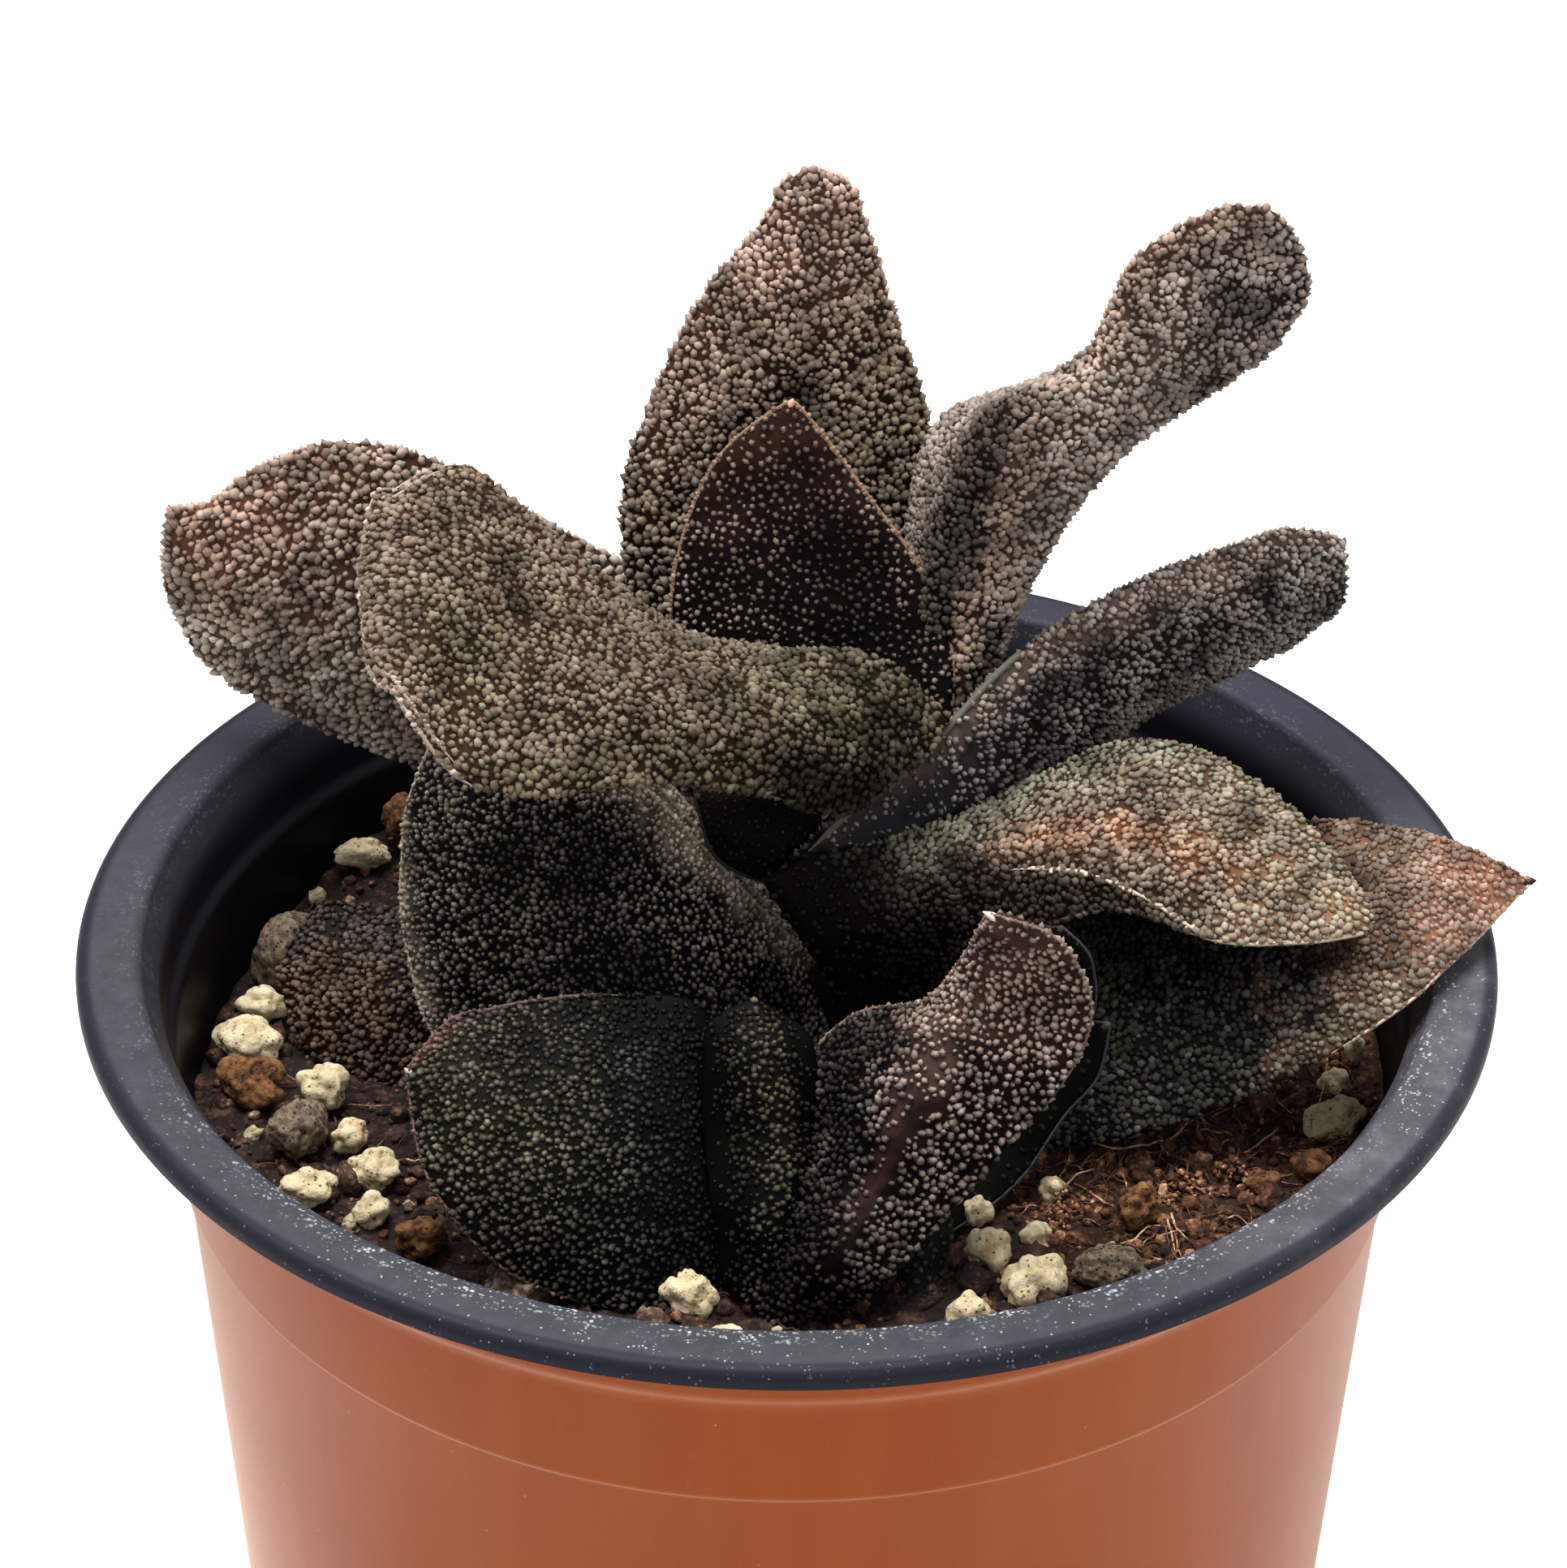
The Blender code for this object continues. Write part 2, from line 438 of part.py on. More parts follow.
def soil_mesh():
    """The soil fills the pot up to an uneven surface, with its sides along the wall."""
    inset = SHEET + GAP
    shape = bmesh.new()

    def ring(radius, height=None):
        corners = []
        for side in range(SIDES):
            turn = 2 * math.pi * side / SIDES
            x, y = radius * math.cos(turn), radius * math.sin(turn)
            z = soil_height(x, y) if height is None else height
            corners.append(shape.verts.new((x * MM, y * MM, z * MM)))
        return corners

    brim = wall_radius(SEAM_HEIGHT + 0.4) - inset
    radii = np.arange(SOIL_RING, brim - SOIL_RING / 2, SOIL_RING)
    rings = [ring(radius) for radius in radii] + [ring(brim)]
    rings += [ring(radius, height) for radius, height in wall_outline(inset)[-3:]]
    for upper, lower in zip(rings, rings[1:]):
        for side in range(SIDES):
            after = (side + 1) % SIDES
            shape.faces.new((upper[side], lower[side], lower[after]))
            shape.faces.new((upper[side], lower[after], upper[after]))
    middle = shape.verts.new((0.0, 0.0, soil_height(0.0, 0.0) * MM))
    floor = shape.verts.new((0.0, 0.0, inset * MM))
    for side in range(SIDES):
        after = (side + 1) % SIDES
        shape.faces.new((middle, rings[0][side], rings[0][after]))
        shape.faces.new((floor, rings[-1][after], rings[-1][side]))
    return mesh_from_bmesh("soil", shape)


def stone_mesh(index, size, place, swell):
    """A stone with a lumpy surface of its own, or with swell the larger hollow it lies in."""
    draw = random.Random(index)
    shape = bmesh.new()
    detail = 2 if max(size) > LARGE_STONE else 1
    bmesh.ops.create_icosphere(shape, subdivisions=detail, radius=0.5)
    shift = Vector((draw.uniform(0, 50), draw.uniform(0, 50), draw.uniform(0, 50)))
    tilt = Euler((draw.uniform(-0.3, 0.3), draw.uniform(-0.3, 0.3), draw.uniform(-0.6, 0.6)))
    for corner in shape.verts:
        lump = 1.0 + STONE_ROUGHNESS * noise.noise(corner.co * 3.0 + shift)
        offset = corner.co.copy() * lump
        offset = Vector([along * length for along, length in zip(offset, size)])
        offset += corner.co.normalized() * swell
        offset.rotate(tilt)
        corner.co = (offset + Vector(place)) * MM
    return mesh_from_bmesh("stone", shape)


# Stems

def stem_mesh(name, stations, swell, group):
    """A tapering stem along its stations, as a curve with filled ends made into a mesh."""
    curve = bpy.data.curves.new(name, "CURVE")
    curve.dimensions = "3D"
    curve.bevel_depth = MM
    curve.bevel_resolution = 2
    curve.use_fill_caps = True
    line = curve.splines.new("POLY")
    line.points.add(len(stations) - 1)
    lowest, highest = stations[0][2], stations[-1][2]
    for point, (x, y, z, radius) in zip(line.points, stations):
        z += swell * ((z == highest) - (z == lowest))
        point.co = (x * MM, y * MM, z * MM, 1.0)
        point.radius = radius + swell
    return welded(name, add_object(name, curve, group))


# Leaves

def smooth_values(knots, values, places):
    """Values at the given places on a smooth curve through the knots."""
    slopes = np.gradient(values, knots, axis=0)
    index = np.clip(np.searchsorted(knots, places, side="right") - 1, 0, len(knots) - 2)
    span = knots[index + 1] - knots[index]
    t = (places - knots[index]) / span
    t, span = t[:, None], span[:, None]
    start, end = values[index], values[index + 1]
    return (
        (2 * t**3 - 3 * t**2 + 1) * start + (t**3 - 2 * t**2 + t) * span * slopes[index]
        + (3 * t**2 - 2 * t**3) * end + (t**3 - t**2) * span * slopes[index + 1]
    )


def leaf_points(leaf, around):
    """Rings of surface points from base to tip, in millimetres: an array of ring, turn, xyz."""
    left = np.array([row[0] for row in leaf["rows"]] + [leaf["tip"]])
    right = np.array([row[1] for row in leaf["rows"]] + [leaf["tip"]])
    crest = np.array([row[2:4] for row in leaf["rows"]] + [(0.0, 0.0)])
    middle = (left + right) / 2
    knots = np.append(0.0, np.cumsum(np.linalg.norm(np.diff(middle, axis=0), axis=1)))
    length = knots[-1]
    count = max(5, round(length / RING_PITCH))
    steps = np.linspace(0.0, TIP_CROWDING, count + 1)[:-1]
    places = length * np.sin(steps) / math.sin(TIP_CROWDING)
    left = smooth_values(knots, left, places)
    right = smooth_values(knots, right, places)
    crest = smooth_values(knots, crest, places)
    middle = (left + right) / 2
    along = np.gradient(middle, places, axis=0)
    width = np.linalg.norm(right - left, axis=1)
    out = np.cross(right - left, along)
    out /= np.linalg.norm(out, axis=1)[:, None]
    root_back, blade_back = leaf["back"]
    share = places / length
    taper = np.minimum(1.0, np.sqrt((1.0 - share) / 0.16))
    edge = np.minimum(leaf["edge"], 0.3 * width) * taper
    back = (blade_back + (root_back - blade_back) * np.clip(1 - share / 0.35, 0, 1) ** 2) * taper
    rise = crest[:, 1] * np.where(crest[:, 1] > 0, taper, 1.0)
    rings = []
    for i in range(count):
        peak = crest[i, 0]
        points = []
        for side in (1, -1):
            for k in range(around):
                u = -math.cos(math.pi * k / around) * side
                rim = edge[i] * math.sqrt(max(0.0, 1 - u * u))
                if side > 0:
                    flank = (u + 1) / (peak + 1) if u < peak else (1 - u) / (1 - peak)
                    lift = rim + rise[i] * math.sin(math.pi / 2 * flank) ** 1.3
                else:
                    lift = -rim - back[i] * (1 - u * u)
                points.append(middle[i] + (right[i] - left[i]) * u / 2 + out[i] * lift)
        rings.append(points)
    return np.array(rings)


def leaf_mesh(name, leaf, warts, swell):
    """A closed leaf, with warts raised on alternate points or with a plain skin pushed out."""
    rings = leaf_points(leaf, AROUND_FACE if warts else AROUND_SKIN)
    draw = random.Random(name)
    shape = bmesh.new()
    grid = [[shape.verts.new(point * MM) for point in ring] for ring in rings]
    turn = len(grid[0])
    for i in range(len(grid) - 1):
        for k in range(turn):
            near, far = grid[i][k], grid[i][(k + 1) % turn]
            above, beyond = grid[i + 1][k], grid[i + 1][(k + 1) % turn]
            if (i + k) % 2:
                shape.faces.new((near, far, above))
                shape.faces.new((far, beyond, above))
            else:
                shape.faces.new((near, far, beyond))
                shape.faces.new((near, beyond, above))
    tip = shape.verts.new(Vector(leaf["tip"]) * MM)
    root = shape.verts.new(Vector(np.mean(rings[0], axis=0)) * MM)
    for k in range(turn):
        shape.faces.new((grid[-1][k], grid[-1][(k + 1) % turn], tip))
        shape.faces.new((grid[0][(k + 1) % turn], grid[0][k], root))
    bmesh.ops.recalc_face_normals(shape, faces=shape.faces)
    shape.normal_update()
    moves = [(corner, corner.normal.copy()) for corner in shape.verts]
    raised = {
        grid[i][k]: draw.uniform(0.7, 1.0)
        for i in range(1, len(grid)) for k in range(turn) if (i + k) % 2 == 0
    }
    for corner, outward in moves:
        lift = swell + (WART_HEIGHT * raised.get(corner, 0.0) if warts else 0.0)
        corner.co += outward * lift * MM
    return mesh_from_bmesh(name, shape)


def boxes_meet(one, other):
    spans = []
    for mesh in (one, other):
        points = np.array([corner.co[:] for corner in mesh.vertices])
        spans.append((points.min(axis=0), points.max(axis=0)))
    (low, high), (other_low, other_high) = spans
    return bool(np.all(low < other_high) and np.all(other_low < high))


def place_clear(name, mesh, skins, group, cutters, finish, solver="EXACT"):
    """Adds a part, cut clear of the skins that it reaches into."""
    near = [skin.copy() for skin in skins if boxes_meet(skin, mesh)]
    add_object(name, cut(mesh, near, cutters, solver), group, finish)


def main():
    clear_scene()
    parts = new_collection("potted_gasteria")
    cutters = new_collection("cutters")
    add_object("pot", pot_mesh(cutters, cutters), parts, "plastic")
    skins = []
    for name, stations in STEMS.items():
        add_object(name, stem_mesh(name, stations, 0.0, cutters), parts, "stem")
        skins.append(stem_mesh(name + "_skin", stations, GAP, cutters))
    for name, leaf in LEAVES.items():
        finish = "offset_leaf" if name.startswith("offset") else "leaf"
        mesh = leaf_mesh(name, leaf, warts=True, swell=0.0)
        place_clear(name, mesh, skins, parts, cutters, finish)
        skins.append(leaf_mesh(name + "_skin", leaf, warts=False, swell=SHELL))
    for index, (kind, place, size) in enumerate(STONES):
        mesh = stone_mesh(index, size, place, 0.0)
        place_clear(f"{kind}_{index + 1:02d}", mesh, skins, parts, cutters, kind)
        skins.append(stone_mesh(index, size, place, GAP))
    place_clear("soil", soil_mesh(), skins, parts, cutters, "soil", solver="MANIFOLD")


main()
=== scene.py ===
"""Looks of a potted gasteria, built round its CAD frame.

Fine warty leaves, the two-colour pot, and the soil with its grit stand for the plain solids.
The frame is in metres with +Z up. Tables of places and sizes are in millimetres.
"""

import math
import random

import bmesh
import bpy
import numpy as np
from mathutils import Euler, Matrix, Vector, noise
from mathutils.bvhtree import BVHTree
from mathutils.kdtree import KDTree


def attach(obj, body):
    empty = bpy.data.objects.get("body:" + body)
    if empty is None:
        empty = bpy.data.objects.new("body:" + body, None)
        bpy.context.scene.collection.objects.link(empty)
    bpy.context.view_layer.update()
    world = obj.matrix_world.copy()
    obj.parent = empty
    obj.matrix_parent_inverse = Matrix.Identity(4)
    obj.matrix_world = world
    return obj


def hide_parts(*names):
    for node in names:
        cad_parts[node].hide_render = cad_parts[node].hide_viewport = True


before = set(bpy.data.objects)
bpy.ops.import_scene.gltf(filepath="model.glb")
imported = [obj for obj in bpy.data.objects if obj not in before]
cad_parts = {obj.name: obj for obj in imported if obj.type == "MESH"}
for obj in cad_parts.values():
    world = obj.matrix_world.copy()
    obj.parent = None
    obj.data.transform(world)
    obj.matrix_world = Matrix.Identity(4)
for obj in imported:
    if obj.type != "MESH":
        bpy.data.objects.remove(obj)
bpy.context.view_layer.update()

MM = 0.001

# Pot, in millimetres
POT_HEIGHT = 92.0
RIM_RADIUS = 52.5
MOUTH_RADIUS = 47.6
RIM_DROP = 1.5
RIM_ROLL = 0.9
SHEET = 1.0
LAYER = 0.48
SEAM_HEIGHT = 75.2
SEAM_RADIUS = 45.7
SEAM_STEP = 0.4
LEDGE_HEIGHT = 84.8
LEDGE_STEP = 0.7
WALL_SLOPE = 0.0555
FOOT_CHAMFER = 2.0
POT_SIDES = 192
SHARP_ANGLE = 40.0
HOLE_COUNT = 8
HOLE_SIDES = 32
HOLE_DEPTH = 10.0
HOLE_RADIUS = 3.5
HOLE_CIRCLE = 27.0
SAME_PLACE = 0.01

# Soil, in millimetres
SOIL_LEVEL = 77.4
SOIL_TILT = 0.04
SOIL_RELIEF = 0.9
SOIL_GRAIN = 5.0
HEAP_PLACE = (-34.0, 30.0)
HEAP_HEIGHT = 3.5
HEAP_SPREAD = 9.0
SOIL_RINGS = 72
SOIL_SIDES = 300
BROAD_SIZE = 18.0
BROAD_RELIEF = 0.8
CLOD_SIZE = 2.2
CLOD_RELIEF = 0.9
FINE_SIZE = 0.8
FINE_RELIEF = 0.22
SOIL_DROP = 0.25
WALL_GAP = 0.03
PEAT_START = 8.0
PEAT_SPAN = 16.0
PEAT_SIZE = 6.0
SOIL_SEED = 7
# How many crumbs, their least and greatest radius, how finely they are made, the share of grit
CRUMBS = [(3300, 0.24, 0.75, 1, 0.03), (300, 0.6, 1.5, 2, 0.05)]
RUSTY_SHARE = 0.2
FIBRES = 1000
FIBRES_IN_PEAT = 0.8
FIBRE_TAPER = (0.5, 0.9, 1.0, 1.0, 0.95, 0.8, 0.4)
ROOTLET_RADIUS = 0.09
CRUMBLY_PLACES = [(20.4, -16.8), (19.9, -19.3), (32.8, -14.6), (28.7, -15.0), (-29.4, 31.4)]
CRUMBLY_GRAINS = 80
CRUMBLY_SPREAD = 0.9

# Leaf surfaces and warts, in millimetres
RING_PITCH = 0.8
AROUND = 48
HALF = AROUND // 2
TIP_CROWDING = 1.46
TIP_SHARE = 0.16
ROOT_SHARE = 0.35
SKIN_LIFT = 0.1
CLEARANCE = 0.12
WAVE = 0.16
WAVE_SIZE = 4.5
WART_TILT = 0.3
WART_LEAN = 0.3
POINTED_SHARE = 0.25
DOME_SIDES = 5
DOME_RINGS = [(1.0, -0.12), (0.64, 0.62)]
UNEVENNESS = 0.28
MARGIN_PITCH = 0.2
SHORTEST_LINE = 8
FADE_STEPS = 12
POINT_ROOT = -0.6
POINT_RADIUS = 0.3
ROUTE_STEPS = 240
CLOSEST = 0.64
CROWD = 1.13
TRIES = 9
ON_SURFACE = 0.06

# The leaves' shapes. edge is half the thickness of the rim, back how deep the back is at the root
# and in the blade. rows are cuts from base to tip: a point on the left edge, one on the right,
# where the crest lies from -1 to 1, and the crest's height.
LEAVES = {
    "leaf_e": dict(edge=0.6, back=(5.0, 1.6), tip=(42.9, -7.0, 95.9), rows=[
        ((-1.9, 0.0, 94.7), (5.6, 1.0, 81.2), 0.0, 0.5),
        ((4.3, 4.0, 96.4), (9.6, 0.0, 83.5), -0.1, 3.0),
        ((10.9, 7.0, 97.0), (14.5, -3.0, 89.0), 0.0, 4.0),
        ((17.6, 8.0, 98.5), (19.6, -5.0, 94.8), 0.3, 2.5),
        ((24.9, 7.0, 102.7), (25.0, -7.0, 97.2), 0.6, 1.5),
        ((30.5, 5.0, 103.1), (31.0, -9.0, 96.2), 0.3, 1.0),
        ((36.3, 1.0, 101.3), (36.3, -9.0, 96.1), 0.0, 0.6),
        ((40.4, -4.0, 98.8), (40.2, -8.0, 96.0), 0.0, 0.2),
    ]),
    "leaf_f": dict(edge=0.6, back=(2.4, 1.8), tip=(54.5, -2.5, 97.0), rows=[
        ((9.0, 9.0, 83.0), (8.5, -3.0, 77.5), 0.0, 1.0),
        ((17.5, 7.5, 87.0), (19.0, -12.0, 79.6), 0.0, 1.2),
        ((24.5, 6.0, 91.5), (27.0, -13.0, 82.0), 0.0, 1.2),
        ((31.5, 4.5, 95.5), (34.0, -13.0, 85.5), 0.0, 1.2),
        ((38.0, 3.0, 98.3), (40.2, -12.5, 89.3), 0.0, 1.0),
        ((43.5, 1.0, 99.4), (45.2, -11.6, 93.2), 0.0, 0.8),
        ((49.4, -1.0, 99.0), (50.6, -5.2, 94.3), 0.0, 0.4),
    ]),
    "leaf_i": dict(edge=1.2, back=(2.0, 2.4), tip=(-27.0, 11.0, 99.5), rows=[
        ((0.5, 3.0, 77.5), (6.0, 6.0, 79.0), 0.0, 0.6),
        ((-7.0, -4.0, 77.5), (1.0, 7.0, 84.5), 0.0, 1.2),
        ((-15.0, -7.0, 78.0), (-3.5, 8.0, 90.0), 0.0, 1.5),
        ((-22.0, -6.0, 79.5), (-7.5, 9.0, 95.0), 0.0, 1.6),
        ((-26.7, -2.0, 83.0), (-12.0, 10.0, 99.4), 0.0, 1.6),
        ((-28.5, 2.0, 87.7), (-16.6, 11.0, 101.3), 0.0, 1.4),
        ((-29.0, 6.0, 92.4), (-21.2, 11.5, 102.0), 0.0, 1.0),
        ((-28.2, 9.0, 97.0), (-25.0, 11.5, 101.0), 0.0, 0.6),
    ]),
    "leaf_d": dict(edge=0.8, back=(3.5, 2.0), tip=(42.5, 24.0, 110.5), rows=[
        ((0.9, 2.0, 95.2), (3.7, 5.0, 84.4), 0.0, 0.5),
        ((5.4, 4.0, 99.0), (7.4, 7.0, 88.3), 0.0, 1.2),
        ((10.2, 6.0, 102.3), (12.4, 9.0, 90.8), 0.0, 1.8),
        ((16.2, 10.0, 107.4), (18.2, 12.0, 94.4), 0.0, 2.2),
        ((21.7, 14.0, 109.7), (23.6, 15.0, 97.0), 0.0, 2.2),
        ((27.4, 17.5, 110.9), (28.6, 18.0, 99.1), 0.0, 2.0),
        ((33.1, 20.5, 111.6), (35.8, 21.0, 101.3), 0.0, 1.5),
        ((38.2, 22.5, 112.2), (40.4, 23.0, 103.3), 0.0, 0.8),
        ((41.3, 23.4, 111.2), (42.8, 23.7, 106.6), 0.0, 0.3),
    ]),
    "leaf_g": dict(edge=0.8, back=(4.0, 2.2), tip=(-30.7, 3.0, 118.7), rows=[
        ((8.9, 4.0, 102.0), (11.7, 7.0, 104.8), 0.0, 0.3),
        ((4.1, 0.5, 100.6), (7.0, 8.0, 109.0), -0.3, 1.4),
        ((-1.5, -3.0, 104.4), (-0.5, 9.0, 109.3), -0.4, 2.0),
        ((-7.0, -5.0, 106.6), (-7.1, 9.5, 110.2), -0.4, 2.0),
        ((-13.1, -7.0, 107.5), (-13.7, 10.5, 114.4), -0.4, 2.0),
        ((-18.2, -8.0, 107.3), (-19.7, 11.5, 119.6), -0.3, 1.8),
        ((-23.6, -8.0, 109.3), (-24.1, 11.0, 123.3), -0.1, 1.2),
        ((-27.7, -6.0, 114.7), (-28.4, 9.0, 122.4), 0.0, 0.8),
        ((-30.0, -1.8, 116.0), (-30.3, 6.8, 121.2), 0.0, 0.4),
    ]),
    "leaf_b": dict(edge=0.5, back=(2.5, 2.0), tip=(0.0, 17.0, 125.7), rows=[
        ((1.5, 8.0, 98.0), (10.0, 8.0, 98.5), 0.0, 0.3),
        ((-7.5, 11.0, 103.3), (12.1, 9.0, 104.7), 0.0, -0.2),
        ((-8.7, 13.0, 109.4), (11.3, 12.0, 110.2), 0.0, -0.5),
        ((-8.2, 14.5, 113.8), (9.1, 13.5, 114.5), 0.0, -0.5),
        ((-6.4, 16.0, 119.2), (5.0, 15.5, 119.5), 0.0, -0.3),
        ((-3.6, 16.5, 123.2), (2.1, 16.5, 123.3), 0.0, 0.0),
    ]),
    "leaf_c": dict(edge=1.2, back=(1.8, 2.0), tip=(37.0, 19.0, 136.8), rows=[
        ((9.0, 12.0, 99.0), (13.5, 10.0, 100.5), 0.0, 0.5),
        ((9.1, 18.0, 107.0), (16.3, 12.0, 109.9), 0.1, 3.5),
        ((9.3, 21.0, 115.2), (18.5, 14.0, 114.0), 0.1, 4.5),
        ((11.9, 23.0, 121.8), (22.2, 15.0, 120.3), 0.1, 5.0),
        ((17.6, 23.0, 124.0), (25.1, 16.0, 123.2), 0.0, 4.0),
        ((22.2, 21.0, 128.4), (28.4, 17.0, 125.2), -0.3, 2.0),
        ((25.0, 20.0, 135.9), (31.9, 17.5, 127.7), -0.5, 0.6),
        ((28.8, 20.0, 139.0), (34.8, 17.5, 129.9), -0.5, -0.8),
        ((32.7, 19.5, 140.4), (36.5, 18.0, 132.7), -0.3, -1.0),
        ((35.2, 19.3, 139.6), (37.3, 18.3, 134.4), -0.1, -0.5),
    ]),
    "leaf_a": dict(edge=0.8, back=(2.4, 3.4), tip=(1.8, 27.0, 140.0), rows=[
        ((3.5, 13.5, 89.0), (10.0, 13.5, 89.0), 0.0, 1.0),
        ((-4.0, 14.5, 95.0), (10.5, 14.5, 95.0), 0.0, 1.2),
        ((-8.8, 16.5, 100.5), (11.7, 16.5, 100.5), 0.0, 1.5),
        ((-12.2, 20.0, 107.8), (12.4, 20.0, 108.0), 0.0, 1.8),
        ((-12.7, 22.0, 113.7), (11.8, 22.0, 114.0), 0.0, 2.0),
        ((-10.4, 24.0, 122.4), (9.7, 24.0, 122.6), 0.0, 2.0),
        ((-6.0, 25.5, 130.8), (6.8, 25.5, 131.0), 0.0, 1.8),
        ((-1.9, 26.5, 136.2), (4.9, 26.5, 136.6), 0.0, 1.4),
        ((0.0, 26.8, 139.2), (3.9, 26.8, 138.8), 0.0, 0.8),
    ]),
    "leaf_h": dict(edge=0.8, back=(2.0, 2.8), tip=(-47.4, 23.0, 112.8), rows=[
        ((2.5, 14.0, 91.5), (5.0, 16.0, 98.0), 0.0, 0.8),
        ((-7.7, 19.0, 90.4), (-4.9, 22.0, 103.8), 0.0, 1.4),
        ((-17.4, 21.0, 88.3), (-12.6, 25.0, 107.1), 0.0, 1.8),
        ((-25.8, 22.0, 89.5), (-20.5, 26.0, 111.4), 0.0, 2.0),
        ((-34.0, 22.5, 92.7), (-29.5, 26.0, 116.5), 0.0, 2.0),
        ((-39.9, 22.5, 95.7), (-35.7, 26.0, 117.0), 0.0, 1.8),
        ((-45.4, 22.5, 100.1), (-41.3, 25.0, 114.9), 0.0, 1.4),
        ((-48.0, 22.5, 106.4), (-44.2, 24.0, 113.1), 0.0, 0.8),
    ]),
    "leaf_p": dict(edge=0.5, back=(1.0, 0.8), tip=(-6.9, 8.0, 97.1), rows=[
        ((3.0, 4.5, 91.5), (5.5, 6.5, 95.5), 0.0, 0.4),
        ((-2.5, 4.0, 92.5), (0.8, 7.0, 97.6), 0.0, 0.6),
        ((-5.5, 5.0, 94.0), (-2.5, 8.0, 98.6), 0.0, 0.6),
    ]),
    "leaf_q": dict(edge=0.5, back=(0.8, 0.8), tip=(4.4, 5.5, 84.3), rows=[
        ((3.0, 2.5, 75.5), (8.7, 2.5, 76.0), 0.0, 0.4),
        ((2.2, 3.5, 81.5), (7.8, 3.5, 81.5), 0.0, 0.6),
        ((2.5, 5.0, 83.8), (6.1, 5.0, 83.8), 0.0, 0.4),
    ]),
    "leaf_o": dict(edge=0.6, back=(1.0, 1.0), tip=(-39.4, 8.0, 80.7), rows=[
        ((-2.0, 4.0, 75.0), (0.0, 9.0, 77.5), 0.0, 0.6),
        ((-14.0, 0.0, 74.5), (-12.0, 9.0, 78.0), 0.0, 0.8),
        ((-25.3, -1.0, 75.2), (-23.2, 9.0, 81.0), 0.0, 0.8),
        ((-30.3, 0.0, 75.8), (-28.3, 10.0, 84.0), 0.0, 1.4),
        ((-34.8, 2.0, 76.2), (-33.5, 12.0, 84.0), 0.0, 1.4),
        ((-38.2, 5.0, 78.0), (-37.2, 11.0, 83.3), 0.0, 1.0),
    ]),
    "offset_leaf_l": dict(edge=0.6, back=(2.0, 0.8), tip=(14.0, -20.5, 105.8), rows=[
        ((-2.3, -28.5, 77.5), (2.5, -29.0, 77.0), 0.0, 1.0),
        ((0.2, -25.0, 82.2), (6.2, -30.0, 80.4), 0.0, 2.5),
        ((1.3, -20.0, 86.4), (10.4, -27.0, 83.8), 0.0, 3.2),
        ((1.8, -17.0, 90.6), (14.9, -25.0, 88.7), 0.0, 3.6),
        ((5.3, -15.0, 93.5), (18.7, -24.0, 93.5), -0.2, 3.2),
        ((9.8, -16.0, 95.2), (20.8, -23.0, 98.5), -0.5, 2.0),
        ((12.5, -18.0, 100.6), (20.0, -22.0, 102.4), -0.6, 0.6),
        ((13.5, -19.5, 103.8), (17.5, -21.5, 105.2), -0.3, 0.0),
    ]),
    "offset_leaf_k": dict(edge=0.6, back=(1.0, 1.0), tip=(-2.3, -15.0, 94.7), rows=[
        ((-4.1, -27.0, 77.4), (0.5, -27.0, 77.4), 0.0, 1.0),
        ((-5.0, -25.0, 82.9), (2.5, -24.0, 82.2), 0.0, 1.6),
        ((-5.7, -21.0, 87.0), (3.5, -20.0, 86.4), 0.0, 1.6),
        ((-5.8, -18.0, 91.2), (2.1, -18.0, 91.3), 0.0, 1.4),
        ((-5.0, -16.0, 93.7), (0.8, -16.0, 93.3), 0.0, 0.8),
    ]),
    "offset_leaf_j": dict(edge=0.7, back=(1.8, 2.2), tip=(-26.8, -18.0, 90.3), rows=[
        ((-3.5, -26.5, 77.0), (-2.5, -17.0, 86.0), 0.0, 0.8),
        ((-9.5, -28.5, 77.4), (-6.3, -13.0, 92.6), 0.0, 1.2),
        ((-15.2, -28.0, 78.1), (-11.9, -13.0, 93.4), 0.0, 1.4),
        ((-19.9, -27.0, 80.1), (-17.1, -13.0, 93.0), 0.0, 1.4),
        ((-23.7, -25.0, 83.6), (-21.1, -14.0, 92.6), 0.0, 1.2),
        ((-25.9, -22.0, 86.9), (-24.3, -15.0, 92.0), 0.0, 0.8),
    ]),
    "offset_leaf_m": dict(edge=0.5, back=(0.8, 0.8), tip=(19.7, -9.2, 97.1), rows=[
        ((0.0, -19.5, 76.5), (3.0, -22.0, 76.0), 0.0, 0.4),
        ((7.5, -13.0, 82.0), (12.0, -16.5, 81.0), 0.0, 0.5),
        ((12.5, -10.0, 85.5), (18.0, -13.5, 85.0), 0.0, 0.6),
        ((16.0, -9.2, 89.1), (21.6, -12.2, 90.2), 0.0, 0.8),
        ((17.3, -8.2, 92.8), (22.1, -11.2, 94.2), 0.0, 0.6),
        ((18.6, -8.2, 95.9), (21.0, -10.2, 96.4), 0.0, 0.3),
    ]),
    "offset_leaf_r": dict(edge=0.5, back=(0.8, 0.8), tip=(23.3, -12.0, 90.6), rows=[
        ((0.5, -22.5, 75.0), (2.5, -25.0, 75.0), 0.0, 0.4),
        ((7.5, -17.5, 77.5), (11.0, -20.5, 77.5), 0.0, 0.5),
        ((13.0, -13.0, 80.5), (17.0, -16.5, 80.0), 0.0, 0.6),
        ((16.7, -10.5, 85.4), (20.2, -14.0, 84.1), 0.0, 0.8),
